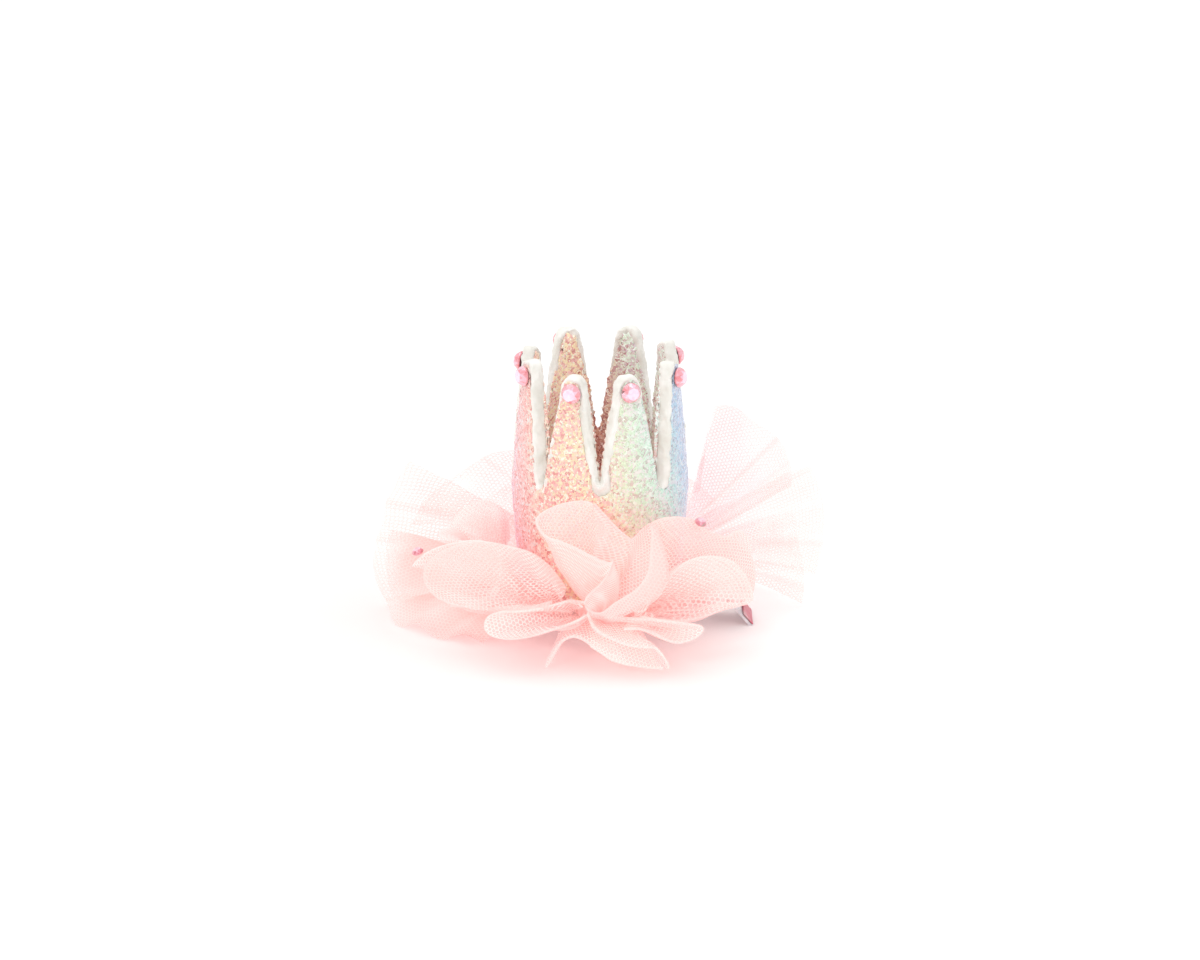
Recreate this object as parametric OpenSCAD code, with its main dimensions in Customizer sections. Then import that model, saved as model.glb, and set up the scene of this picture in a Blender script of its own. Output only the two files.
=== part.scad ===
// Mini crown hair clip: a glitter-covered foam crown on a gathered tulle skirt,
// with an alligator clip under it. Millimetres, +Z up, origin on the floor
// under the middle of the crown. +X is the clip's tail, -Y the front.

/* [Crown] */
// Outer diameter of the crown at its foot and belly
crown_d = 44.6; // [43.6:0.2:44.8]
// Outer diameter of the crown at the tips of its points
tip_ring_d = 39.6; // [39:0.2:43]
// Height above the floor at which the wall starts
crown_z = 10.6; // [10.5:0.1:12]
// Height above the floor at which the notches between the points end
valley_z = 41; // [39:0.5:44]
// Thickness of the foam wall
foam_t = 2.5; // [1.5:0.1:3]
// Thickness of each glitter sheet
glitter_t = 0.6; // [0.4:0.1:0.8]
// How far the outer glitter sheet stays inside the foam's outline
glitter_inset = 0.5; // [0.2:0.1:0.8]
// Width of a point's round tip
tip_w = 5.4; // [4.6:0.2:6]
// Width of a point where the round foot of the notch begins
point_w = 14.4; // [12:0.2:15]

/* [Stones] */
// Diameter of the stones on the points
tip_stone_d = 5; // [4:0.1:5.4]
// Height of the stones on the points
tip_stone_h = 1.9; // [1.5:0.1:2.6]
// Diameter of the small stones on the net
net_stone_d = 3; // [2.6:0.1:3.6]

/* [Skirt] */
// Thickness of the net's walls
net_t = 1; // [0.8:0.1:1.2]
// Depth of the pleats in the fans
pleat_depth = 1.1; // [0.4:0.1:1.4]
// How much wider than drawn the skirt spreads
spread = 1; // [0.98:0.01:1.04]

/* [Clip] */
// Width of the clip's plate and of its tab
plate_w = 10; // [9:0.5:11]
// Thickness of the steel strips
steel_t = 0.8; // [0.6:0.1:0.9]
// Where the hinge pin lies along the clip
hinge_x = 29.5; // [29:0.1:30]
// Height of the hinge pin above the floor
hinge_z = 6.4; // [6.3:0.1:6.5]
// Radius of the hinge pin
pin_r = 0.8; // [0.6:0.05:0.85]
// Slope of the tab that the fingers press
tab_angle = 50; // [48:1:53]

/* [Hidden] */

// Small gap between pieces that are glued together
glue = 0.05;
// Sides of the crown's round wall
round_fn = 96;

// The crown's points, counterclockwise from the front left
// Columns: azimuth, height of the tip above the floor, sideways lean of the tip,
// how much higher than valley_z the notch before it and the notch after it end
POINTS = [
    [249.5, 70.8, 0.3, 0, 0],
    [292, 71.0, -0.3, 0, 0],
    [339, 71.1, 0, 0, 0],
    [383, 71.9, 0, 0, 0],
    [427, 73.0, 0, 0, 3.5],
    [476, 72.8, 0, 3.5, 0],
    [521, 70.9, 0, 0, 0],
    [565, 71.9, 0, 0, 0]
];

function lerp(a, b, t) = a + (b - a) * t;
function unit(v) = v / norm(v);
function arc(c, r, from, to, n) =
    [for (i = [0:n]) c + r * [cos(lerp(from, to, i / n)), sin(lerp(from, to, i / n))]];

// The wall is upright up to its belly and leans in above it
belly_z = 38;
top_z = 74;
function crown_r(z) = lerp(crown_d, tip_ring_d, max(0, z - belly_z) / (top_z - belly_z)) / 2;
lean_in = atan((crown_d - tip_ring_d) / 2 / (top_z - belly_z));

// A ring between two depths behind the crown's outer face
module wall(depth, thick) {
    rotate_extrude($fn = round_fn)
        polygon([
            [crown_d / 2 - depth - thick, crown_z],
            [crown_d / 2 - depth, crown_z],
            [crown_d / 2 - depth, belly_z],
            [tip_ring_d / 2 - depth, top_z],
            [tip_ring_d / 2 - depth - thick, top_z],
            [crown_d / 2 - depth - thick, belly_z]
        ]);
}

// Outline of one point seen from outside: a round tip, straight sides, and at each side
// half of the round foot of a notch. It starts below the notches, in the band.
notch_r = 2;
notch_start = 250;
foot_x = point_w / 2 + notch_r;
function notch_foot(rise, inset) =
    arc([foot_x, valley_z + rise + notch_r], notch_r + inset, notch_start, 190, 4);
function point_outline(p, inset) =
    let (
        before = notch_foot(p[3], inset),
        after = notch_foot(p[4], inset),
        low = valley_z - 3
    )
    concat(
        [[-before[0][0], low], [after[0][0], low]],
        after,
        arc([p[2], p[1] - tip_w / 2], tip_w / 2 - inset, 10, 170, 8),
        [for (i = [len(before) - 1:-1:0]) [-before[i][0], before[i][1]]]
    );

// The sill fills the wall under a notch that ends higher than the others
sill_w = 4;
module sill(azimuth, rise, inset) {
    rotate([0, 0, azimuth])
        translate([point_from_r, -sill_w / 2, valley_z - 2])
            cube([crown_d / 2, sill_w, rise - inset + 2]);
}

point_from_r = 12;
module crown_layer(depth, thick, inset) {
    intersection() {
        wall(depth, thick);
        union() {
            translate([0, 0, crown_z - 1])
                cylinder(r = crown_d, h = valley_z - inset - crown_z + 1, $fn = round_fn);
            for (i = [0:len(POINTS) - 1]) {
                rotate([0, 0, POINTS[i][0]])
                    translate([point_from_r, 0, 0])
                        rotate([90, 0, 90])
                            linear_extrude(crown_d / 2)
                                polygon(point_outline(POINTS[i], inset));
                if (POINTS[i][4] > 0)
                    sill((POINTS[i][0] + POINTS[i + 1][0]) / 2, POINTS[i][4], inset);
            }
        }
    }
}

foam_depth = glitter_t + glue;
inner_depth = foam_depth + foam_t + glue;

module crown_core() {
    color("ivory")
        crown_layer(foam_depth, foam_t, 0);
}

module glitter_outer() {
    color("lightpink")
        crown_layer(0, glitter_t, glitter_inset);
}

module glitter_inner() {
    color("rosybrown")
        crown_layer(inner_depth, glitter_t, 0.2);
}

// The plain disc under the crown
felt_r = crown_d / 2 + 0.3;
plate_top = 9;
plate_z = plate_top - steel_t;

module felt_base() {
    color("mistyrose")
        translate([0, 0, plate_top + glue])
            cylinder(r = felt_r, h = crown_z - plate_top - 2 * glue, $fn = round_fn);
}

// A cut stone on its flat back: girdle, a ring of main facets, and an octagonal table
module stone(d, h) {
    hull() {
        cylinder(d = d, h = 0.25 * h, $fn = 16);
        translate([0, 0, 0.6 * h])
            rotate([0, 0, 22.5])
                cylinder(d = 0.84 * d, h = 0.01, $fn = 8);
        translate([0, 0, h - 0.01])
            cylinder(d = 0.56 * d, h = 0.01, $fn = 8);
    }
}

stone_drop = 4;

module tip_stone(i) {
    z = POINTS[i - 1][1] - stone_drop;
    color("hotpink")
        rotate([0, 0, POINTS[i - 1][0]])
            translate([crown_r(z) + glue, POINTS[i - 1][2], z])
                rotate([0, 90 - lean_in, 0])
                    stone(tip_stone_d, tip_stone_h);
}

// Point of a smooth line through the rows, t from 0 to 1
function row(rows, i) = rows[max(0, min(len(rows) - 1, i))];
function along(rows, t) =
    let (
        s = t * (len(rows) - 1),
        i = min(floor(s), len(rows) - 2),
        f = s - i,
        a = row(rows, i - 1),
        b = row(rows, i),
        c = row(rows, i + 1),
        d = row(rows, i + 2)
    )
    b + 0.5 * f * (c - a + f * (2 * a - 5 * b + 4 * c - d + f * (3 * (b - c) + d - a)));

// The gathers sit in a band round the crown's foot
gather_r = crown_d / 2 + 2;
gather_low = 9.5;
gather_high = 13.5;
gather_t = 2.4;
function gather_point(azimuth, z) = [gather_r * cos(azimuth), gather_r * sin(azimuth), z];

// A lobe is the net between the gathers and its folded or cut edge. It swells by its puff
// half way out, and its pleats deepen towards the edge.
// Columns: where its gathers start and where they end (azimuth, height), the puff
// (x, y, z), the number of pleats, and the rows of its edge (x, y, z)
function lobe_point(lobe, u, v) =
    let (
        g = lerp(lobe[0], lobe[1], u),
        root = gather_point(g[0], g[1]),
        edge = along(lobe[4], u),
        wide = [edge[0] * spread, edge[1] * spread, edge[2]],
        out = unit(cross(along(lobe[4], min(1, u + 0.02)) - along(lobe[4], max(0, u - 0.02)), edge - root))
    )
    lerp(root, wide, v) + sin(180 * v) * lobe[2] + v * pleat_depth * sin(360 * lobe[3] * u) * out;

function grid_normal(grid, i, j) =
    unit(cross(
        row(grid, i + 1)[j] - row(grid, i - 1)[j],
        row(grid[i], j + 1) - row(grid[i], j - 1)
    ));

// A closed wall of thickness t about a grid of points
module sheet(grid, t) {
    n = len(grid);
    m = len(grid[0]);
    upper = [for (i = [0:n - 1]) for (j = [0:m - 1]) grid[i][j] + t / 2 * grid_normal(grid, i, j)];
    lower = [for (i = [0:n - 1]) for (j = [0:m - 1]) grid[i][j] - t / 2 * grid_normal(grid, i, j)];
    k = n * m;
    border = concat(
        [for (i = [0:n - 1]) i * m],
        [for (j = [1:m - 1]) (n - 1) * m + j],
        [for (i = [n - 2:-1:0]) i * m + m - 1],
        [for (j = [m - 2:-1:1]) j]
    );
    edge_n = len(border);
    polyhedron(
        points = concat(upper, lower),
        faces = concat(
            [for (i = [0:n - 2]) for (j = [0:m - 2]) [i * m + j, i * m + j + 1, (i + 1) * m + j]],
            [for (i = [0:n - 2]) for (j = [0:m - 2]) [i * m + j + 1, (i + 1) * m + j + 1, (i + 1) * m + j]],
            [for (i = [0:n - 2]) for (j = [0:m - 2]) [k + i * m + j, k + (i + 1) * m + j, k + i * m + j + 1]],
            [for (i = [0:n - 2]) for (j = [0:m - 2])
                [k + i * m + j + 1, k + (i + 1) * m + j, k + (i + 1) * m + j + 1]],
            [for (e = [0:edge_n - 1]) [border[e], border[(e + 1) % edge_n], k + border[e]]],
            [for (e = [0:edge_n - 1]) [border[(e + 1) % edge_n], k + border[(e + 1) % edge_n], k + border[e]]]
        )
    );
}

module lobe(l, steps_out, steps_row) {
    steps_round = steps_row * (len(l[4]) - 1) + 4 * l[3];
    sheet([for (i = [0:steps_round]) [for (j = [0:steps_out])
        lobe_point(l, i / steps_round, j / steps_out)]], net_t);
}

// The band of gathers is bunched: its folds stand out and sink in by turns
bunch_step = 9;
bunch_depth = 0.35;
module gather_fold(azimuth, depth) {
    translate(gather_point(azimuth, gather_low) - depth * [cos(azimuth), sin(azimuth), 0])
        rotate([0, 0, azimuth])
            cylinder(d = gather_t - bunch_depth, h = gather_high - gather_low, $fn = 6);
}

module gather_band(from, to) {
    folds = ceil((to - from) / bunch_step);
    for (i = [0:folds - 1])
        hull() {
            gather_fold(lerp(from, to, i / folds), bunch_depth * (i % 2));
            gather_fold(lerp(from, to, (i + 1) / folds), bunch_depth * ((i + 1) % 2));
        }
}

// Lobes that reach the floor lie flat on it
module on_floor() {
    intersection() {
        children();
        translate([-80, -80, 0])
            cube([160, 160, 90]);
    }
}

// The folded net in front, gathered like a rose
FRONT_LOBES = [
    // Big puff on the left
    [[252, 13], [246, 10.5], [-1, -4, 1.5], 0, [
        [-8.3, -27.5, 19.9], [-10.7, -28.5, 24], [-13.3, -29, 27.3], [-16.9, -29, 29.9],
        [-21, -28.5, 31], [-24.6, -27.5, 31.5], [-29, -26, 31.6], [-33, -24.5, 30.4],
        [-37, -22.5, 28.4], [-40.9, -20, 25], [-43.3, -17.5, 20.9], [-43.4, -17, 17.2],
        [-41.8, -19.5, 15.6], [-39.2, -22.5, 14.7], [-34.9, -25.5, 14.3], [-29.2, -28, 14.4],
        [-23.1, -29.5, 14.9], [-17, -30.5, 16.1], [-11.6, -31, 17.9]]],
    // Leaf below it
    [[254, 12], [262, 10.5], [0, -2, 1], 0, [
        [-3.4, -30.5, 17.4], [-7.3, -31, 17.9], [-10.9, -31.5, 17.3], [-14.5, -32, 16.5],
        [-19.4, -32, 15.7], [-24.2, -32, 15.5], [-27.1, -32.5, 14.6], [-28.1, -33, 12.2],
        [-26.9, -34, 10.3], [-23.5, -34.5, 9.4], [-19.3, -35, 9.8], [-15.7, -35, 10.6],
        [-11.6, -35, 12], [-7.2, -34.5, 13.4], [-2.9, -33.5, 15.3]]],
    // Loop that stands against the crown, open at the top
    [[272, 12], [266, 12.5], [-1, -1, 0], 0, [
        [2.9, -35, 29.4], [1, -35, 29.8], [-2.4, -35, 31.5], [-6, -34.5, 33.3],
        [-9.6, -34, 34.7], [-12.4, -33, 35.2], [-14.4, -31.5, 36.5], [-15.4, -30, 38.5],
        [-14.4, -28.5, 39.5], [-12.5, -27.5, 40.4], [-9.6, -26.5, 41.3], [-6, -25.7, 41.8],
        [-2.9, -25.3, 41.6], [-1, -25.5, 40.5], [1, -26.4, 38.4], [3.2, -27.8, 36.2]]],
    // Petal that curls down from the middle
    [[264, 13], [274, 10.5], [1, -2, 0], 0, [
        [-1.4, -25.6, 41], [1, -27, 38.7], [3.4, -28.5, 36.4], [5.8, -30, 34.7],
        [7.7, -30.5, 33.8], [9.8, -30, 35.7], [12, -29.5, 37.3], [13.4, -30.2, 36.8],
        [14.1, -31.7, 34.8], [15.1, -33.7, 31.7], [15.8, -35.2, 28.2], [15.3, -36.2, 25.5],
        [13.9, -37, 23.2], [11.5, -37.5, 20.9], [7.7, -38, 18.7], [4.6, -38, 17],
        [2.2, -37.8, 16.5], [0.2, -37.5, 16.6], [-1.6, -37, 16.9], [-2.8, -36.5, 17.8],
        [-3.6, -36.3, 19.2], [-3.1, -36, 20.8], [-1.5, -35.6, 22.4], [0.5, -35, 24.3],
        [2.2, -34, 26.6], [3.1, -33, 29.3]]],
    // Puff on the right, back layer
    [[282, 13], [306, 11], [1, -2, 2], 0, [
        [7.2, -27.5, 32.1], [9.9, -27.5, 34.7], [12.3, -27, 36.6], [15.4, -26, 37.5],
        [19.3, -24.5, 37.2], [22.6, -22.5, 35.7], [25.1, -20.5, 33.1], [28.1, -18.5, 30.7],
        [32, -15.5, 28.3], [35.9, -12.5, 25], [37.8, -10.5, 21], [38.7, -9.5, 16.8],
        [38.5, -9.5, 12.5], [37.7, -10.5, 9.7]]],
    // Puff on the right, front layer
    [[284, 12.5], [300, 10.5], [1, -3, 1], 0, [
        [8.2, -33, 16.1], [10.9, -33, 18.2], [13.3, -33, 20.6], [15.4, -32, 23.3],
        [17.8, -31, 25.7], [20.7, -30, 27.7], [24.2, -28.5, 28.4], [28.1, -26, 27.6],
        [32.2, -23, 25.2], [35.3, -20, 21.1], [37.3, -17, 16.1], [37.9, -16, 12],
        [35.8, -18, 11.7], [32, -21, 11.9], [28.2, -24, 11.8], [24.4, -27, 11.8],
        [19.4, -30, 12.2], [14.5, -32, 13.4], [9.7, -33.5, 15]]],
    // Narrow fold at the lower right
    [[278, 11], [290, 10.5], [0, -1, 0], 0, [
        [1.4, -35.5, 15.6], [8.4, -36.5, 15.6], [14, -36, 15], [19.3, -34.5, 13.6],
        [23, -33, 12.5], [25.2, -32, 11.3], [24.5, -33, 10.1], [22.3, -34, 9], [19.3, -35, 8.6],
        [16.4, -35.5, 9.5], [13.3, -36, 11.4], [9.6, -36.5, 12.9], [5.8, -37, 13.1]]],
    // Folds that run down to the floor, and the net between them
    [[264, 11], [284, 10.5], [0, -1, 0], 0, [
        [-2.9, -34.5, 16.5], [-1.9, -36, 14], [0, -37, 12.3], [2.9, -37.5, 10.7],
        [5.8, -38, 9.6], [9.6, -38, 8.8], [13, -37.5, 8.4], [14.7, -37, 6.8], [16.2, -36.5, 4.2],
        [16.7, -36, 2.2]]],
    [[262, 10.5], [290, 10], [0, 0, 0], 0, [
        [-2.4, -35, 7.8], [1, -36, 5.9], [4.4, -36.8, 4.4], [8.2, -37.3, 3.5], [12.1, -37.5, 3],
        [15.2, -37, 2.6]]],
    [[250, 10.5], [268, 10.5], [0, -1, 0], 0, [
        [-13.2, -31, 0.2], [-11.9, -31.7, 3.2], [-10.5, -32.3, 6.1], [-9, -33, 8.3],
        [-6.5, -33.8, 9.7], [-3.6, -34.5, 8.9], [0, -35.5, 6.4], [3.1, -36.5, 4.5],
        [7.3, -37, 3.4]]],
    // Round the right side, over the clip's tail
    [[308, 12.5], [343, 11.5], [1, 0, 2], 0, [
        [29, -17, 27], [31.8, -13.8, 28.1], [34, -10, 28], [36, -7, 26.4], [37, -4, 24], [37.8, -1.9, 21.2],
        [38, 0, 18], [37.7, 1.9, 15.1], [37, 3.5, 12.5]]]
];

// Single net fans with cut edges, and low folds behind
LEFT_LOBES = [
    // Flat fan with a cut corner
    [[118, 13], [158, 11], [0, 0, 1], 4, [
        [-48, 8, 40], [-51.5, 8, 35], [-54, 8, 29], [-56, 8, 22], [-58, 8, 14], [-57.5, 9, 7],
        [-55, 10, 0.5]]],
    // Fainter fan behind it
    [[98, 13], [116, 12], [0, 1, 1], 4, [
        [-20, 28, 36], [-28, 27, 35.5], [-36, 25, 31], [-44, 21, 26], [-49, 18, 19]]],
    // Short fold that stands beside the crown
    [[168, 13], [229, 12.5], [-2, 0, 3], 0, [
        [-40, 7, 22], [-40.5, 0, 23], [-38, -7, 24.5], [-33, -12, 26], [-28, -15, 27]]],
    // Fold inside the left puff
    [[217, 13], [226, 11], [-1, -1, 2], 0, [
        [-46.7, -12, 19.5], [-44.2, -14, 22.9], [-40.4, -16, 25.8], [-35.3, -18.5, 28.2], [-29.8, -21, 29.7], [-26.1, -22.5, 28.9],
        [-24.1, -23.5, 25.9], [-24.6, -23.4, 21.4], [-27, -22, 16.4], [-31, -22, 12.9], [-37, -20, 12]]],
    // Side fold, seen on its edge
    [[162, 12.5], [194, 11], [-1, 0, 1], 0, [
        [-50.5, 5, 23], [-52, 4, 18], [-52.5, 3.5, 12], [-51, 1, 7.5], [-48, -2, 6.5]]],
    // Low fold on the floor under the left puff
    [[196, 11], [228, 10.5], [-1, 0, 1], 0, [
        [-53, 4, 3], [-50, -4, 0], [-45, -9, 2.5], [-40, -13, 0], [-34, -14.5, 2], [-29, -15, 0]]],
    // Short fan close behind the crown
    [[95, 12.5], [130, 12.5], [0, 1, 1], 3, [
        [4, 31, 29], [-5, 33, 30], [-16, 34, 27], [-24, 32, 25], [-31, 29, 21]]],
    // Low folds behind
    [[95, 10.5], [152, 10.5], [0, 1, 2], 0, [
        [-0.7, 37.2, 5], [-6, 38, 0], [-15, 37.2, 6], [-22, 36.5, 0], [-29, 33, 6], [-35, 30, 0],
        [-41, 25, 5], [-46, 20, 0], [-49, 15, 3]]]
];

RIGHT_LOBES = [
    // Tall pleated fan
    [[82, 13], [42, 11.5], [1, 1, 0], 7, [
        [23, 24, 44], [29, 23, 50], [34.5, 21, 52], [38, 20, 49], [45.5, 17, 44], [48.5, 15, 37], [49, 14, 31]]],
    // Lower fan down to the floor
    [[40, 12.5], [21, 11], [1, 0.5, 1], 4, [
        [49.5, 13, 25], [50.5, 11, 19], [52, 9.5, 12], [52.5, 9, 6], [52, 9, 0.5]]],
    // Short fold over the clip's tail
    [[-6, 13], [17, 12.5], [1, 0, 2], 0, [
        [38.5, 2, 17], [41, 4, 20.5], [43.5, 7, 22.5], [45, 10, 23.5]]],
    // Faint fan behind them
    [[56, 12.5], [40, 10.5], [1, 1, 1], 3, [
        [54, 22, 34], [56.8, 21, 28], [58.1, 20, 20], [57.6, 19, 12], [56, 18, 5]]],
    // Short fan close behind the crown
    [[85, 12.5], [50, 12.5], [0, 1, 1], 3, [
        [-4, 36, 23], [5, 36, 26], [16, 34, 28], [24, 32, 26], [31, 28, 22]]],
    // Low folds behind
    [[85, 10.5], [34, 10.5], [0, 1, 2], 0, [
        [0.7, 37.2, 5], [7, 38, 0], [14, 37.2, 6], [21, 36, 0], [28, 33.5, 6], [35, 29, 0],
        [42, 23.5, 5], [48, 17, 4]]]
];

net_color = [0.99, 0.86, 0.83];

module tulle_front() {
    color(net_color)
        on_floor() {
            gather_band(238, 346);
            for (l = FRONT_LOBES)
                lobe(l, 4, 1);
        }
}

module tulle_left() {
    color(net_color)
        on_floor() {
            gather_band(92.6, 232.8);
            for (l = LEFT_LOBES)
                lobe(l, 3, 2);
        }
}

module tulle_right() {
    color(net_color)
        on_floor() {
            gather_band(-8.8, 87.4);
            for (l = RIGHT_LOBES)
                lobe(l, 3, 2);
        }
}

// Small stones on the net
// Columns: place of the stone's back, the way it faces
left_stone = [[-45, -13.1, 23.5], [-0.15, -0.3, 0.94]];
right_stone = [[24.4, -22.95, 35.05], [0.3, -0.3, 0.9]];

module net_stone(place) {
    n = unit(place[1]);
    translate(place[0])
        rotate([0, acos(n[2]), atan2(n[1], n[0])])
            stone(net_stone_d, 0.34 * net_stone_d);
}

module tulle_stone_left() {
    color("palevioletred")
        net_stone(left_stone);
}

module tulle_stone_right() {
    color("palevioletred")
        net_stone(right_stone);
}

// The clip lies along X. Its outlines are drawn from the side and pulled out to a width.
clip_y = 1;
clip_front = -17;
tail_start = 34;
tail_end = 37;
tail_rise = 0.9;
module strip(width, y = clip_y) {
    translate([0, y + width / 2, 0])
        rotate([90, 0, 0])
            linear_extrude(width)
                children();
}

module bore(r) {
    translate([hinge_x, clip_y - plate_w, hinge_z])
        rotate([-90, 0, 0])
            cylinder(r = r, h = 2 * plate_w, $fn = 48);
}

// An ear round the hinge, reaching up or down to a strip
module ear(r, z, y) {
    strip(steel_t, y) {
        translate([hinge_x, hinge_z])
            circle(r = r, $fn = 48);
        translate([hinge_x - r, min(z, hinge_z)])
            square([2 * r, abs(z - hinge_z)]);
    }
}

plate_ear_r = 2.2;
plate_ear_y = plate_w / 2 - steel_t / 2;

module clip_plate() {
    color("silver")
        difference() {
            union() {
                strip(plate_w)
                    polygon([
                        [clip_front, plate_z], [tail_start, plate_z], [tail_end, plate_z + tail_rise],
                        [tail_end, plate_top + tail_rise], [tail_start, plate_top], [clip_front, plate_top]
                    ]);
                for (side = [-1, 1])
                    ear(plate_ear_r, plate_z + steel_t / 2, clip_y + side * plate_ear_y);
            }
            bore(pin_r + 0.02);
        }
}

// The jaw runs level under the hinge, rises to meet the plate at its tip, and drops at the tail
jaw_z = 5;
jaw_tip_z = 7.15;
jaw_w = plate_w - 2 * steel_t - 0.4;
jaw_ear_r = 1.5;
jaw_ear_y = jaw_w / 2 - steel_t / 2;
tab_x = hinge_x + 4.3;
tab_foot_x = tab_x + (jaw_z + steel_t) / tan(tab_angle);
tab_back = steel_t / sin(tab_angle);
teeth = 7;
tooth_gap = 2.6;

module clip_jaw() {
    color("gainsboro")
        difference() {
            union() {
                strip(jaw_w)
                    polygon([
                        [clip_front, jaw_tip_z], [25, jaw_z], [tab_x, jaw_z],
                        [tab_x, jaw_z + steel_t], [25, jaw_z + steel_t], [clip_front, jaw_tip_z + steel_t]
                    ]);
                strip(plate_w)
                    polygon([
                        [tab_foot_x - tab_back, 0], [tab_foot_x, 0], [tab_x, jaw_z + steel_t],
                        [tab_x, jaw_z + steel_t - 1.2 * steel_t]
                    ]);
                strip(jaw_w - 1)
                    for (i = [0:teeth - 1])
                        translate([clip_front + 2 + i * tooth_gap, jaw_tip_z + steel_t - 0.35 - i * 0.145])
                            polygon([[0, 0], [1.2, 0], [0.6, 0.5]]);
                for (side = [-1, 1])
                    ear(jaw_ear_r, jaw_z + steel_t / 2, clip_y + side * jaw_ear_y);
            }
            bore(pin_r + 0.06);
            translate([hinge_x - 2.6, clip_y - jaw_w / 2 + steel_t, jaw_z - 1])
                cube([5.2, jaw_w - 2 * steel_t, 3 * steel_t]);
        }
}

// Ribbon on the face of the tab that is turned up
ribbon_t = 0.4;
ribbon_w = plate_w - 0.6;

module tab_ribbon() {
    color("palevioletred")
        translate([tab_foot_x, clip_y, 0])
            rotate([0, tab_angle, 0])
                translate([-3.8, -ribbon_w / 2 + 0.3, glue])
                    cube([3.5, ribbon_w, ribbon_t]);
}

module hinge_pin() {
    color("darkgray")
        translate([hinge_x, clip_y - plate_w / 2 - 0.3, hinge_z])
            rotate([-90, 0, 0])
                cylinder(r = pin_r, h = plate_w + 0.6, $fn = 48);
}

// The spring is wound round the pin: its coil and one leg bear on the plate,
// its last turn and the other leg on the tab
wire_r = 0.25;
coil_r = 1.3;
turns = 8;
coil_y = clip_y - 2.3;
module coil(y, count) {
    translate([hinge_x, y, hinge_z])
        rotate([-90, 0, 0])
            rotate_extrude($fn = 48)
                polygon(concat(
                    [[coil_r - wire_r, 0]],
                    [for (i = [0:count - 1]) for (side = [[0.6, 0.1], [1, 0.35], [1, 0.65], [0.6, 0.9]])
                        [coil_r + wire_r * side[0], (i + side[1]) * 2 * wire_r]],
                    [[coil_r - wire_r, count * 2 * wire_r]]
                ));
}

module leg(y, z, length) {
    translate([hinge_x, y, hinge_z + z])
        rotate([0, 90, 0])
            cylinder(r = 0.8 * wire_r, h = length, $fn = 16);
}

module hinge_spring() {
    color("dimgray")
        union() {
            coil(coil_y, turns);
            leg(coil_y + wire_r, coil_r + 0.2, 4);
        }
}

module spring_leg() {
    y = coil_y + 2 * turns * wire_r + 0.1;
    color("dimgray")
        union() {
            coil(y, 1);
            leg(y + wire_r, -coil_r, 2.3);
        }
}

crown_core();
glitter_outer();
glitter_inner();
felt_base();
tip_stone(1);  // tip_stone_1
tip_stone(2);  // tip_stone_2
tip_stone(3);  // tip_stone_3
tip_stone(4);  // tip_stone_4
tip_stone(5);  // tip_stone_5
tip_stone(6);  // tip_stone_6
tip_stone(7);  // tip_stone_7
tip_stone(8);  // tip_stone_8
tulle_front();
tulle_left();
tulle_right();
tulle_stone_left();
tulle_stone_right();
clip_plate();
clip_jaw();
tab_ribbon();
hinge_pin();
hinge_spring();
spring_leg();
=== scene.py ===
import math

import bpy
import numpy as np
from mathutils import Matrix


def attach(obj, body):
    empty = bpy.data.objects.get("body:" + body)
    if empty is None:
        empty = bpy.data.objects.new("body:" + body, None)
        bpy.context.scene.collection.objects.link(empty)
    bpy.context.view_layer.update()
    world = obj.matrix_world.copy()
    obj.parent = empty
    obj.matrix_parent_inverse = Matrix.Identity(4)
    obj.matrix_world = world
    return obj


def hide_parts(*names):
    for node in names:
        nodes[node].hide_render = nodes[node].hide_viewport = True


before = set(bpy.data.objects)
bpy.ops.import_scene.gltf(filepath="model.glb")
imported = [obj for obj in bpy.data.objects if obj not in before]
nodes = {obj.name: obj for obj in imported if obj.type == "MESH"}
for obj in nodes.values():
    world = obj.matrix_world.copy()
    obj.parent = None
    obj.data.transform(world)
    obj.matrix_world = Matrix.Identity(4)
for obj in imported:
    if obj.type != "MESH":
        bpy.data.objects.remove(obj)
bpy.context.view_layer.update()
mainBody, jawBody = "crown_and_plate", "jaw"
print("frame loaded")


# small helpers; all shapes are worked out in millimetres and stored in metres

def linear(rgb):  # a screen colour, 0 to 255, as Blender's linear colour
    c = np.array(rgb, float) / 255
    return (*np.where(c <= 0.04045, c / 12.92, ((c + 0.055) / 1.055) ** 2.4), 1.0)


def unit(v):
    return v / np.maximum(np.linalg.norm(v, axis=-1, keepdims=True), 1e-9)


def smooth(x, low, high):  # 0 below low, 1 above high, an S-curve between
    t = np.clip((x - low) / (high - low), 0, 1)
    return t * t * (3 - 2 * t)


def squared(x, power):  # a cosine or sine pulled towards -1 and 1, which makes a circle squarish
    return np.sign(x) * np.abs(x) ** power


def roundEnds(s, span, radius):  # 0 at both ends of a span and 1 between, with a quarter circle at each end
    return np.sqrt(np.clip(1 - (1 - np.clip(np.minimum(s, span - s) / radius, 0, 1)) ** 2, 0, 1))


def ripple(points, size, seed, waves=18):
    # soft random relief, mostly between -1 and 1: sine waves of about that size in random directions, summed
    random = np.random.default_rng(seed)
    way = unit(random.normal(size=(waves, 3))) * (2 * np.pi / (size * random.uniform(0.7, 1.5, (waves, 1))))
    return np.sin(points @ way.T + random.uniform(0, 2 * np.pi, waves)).sum(-1) / math.sqrt(waves)


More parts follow.
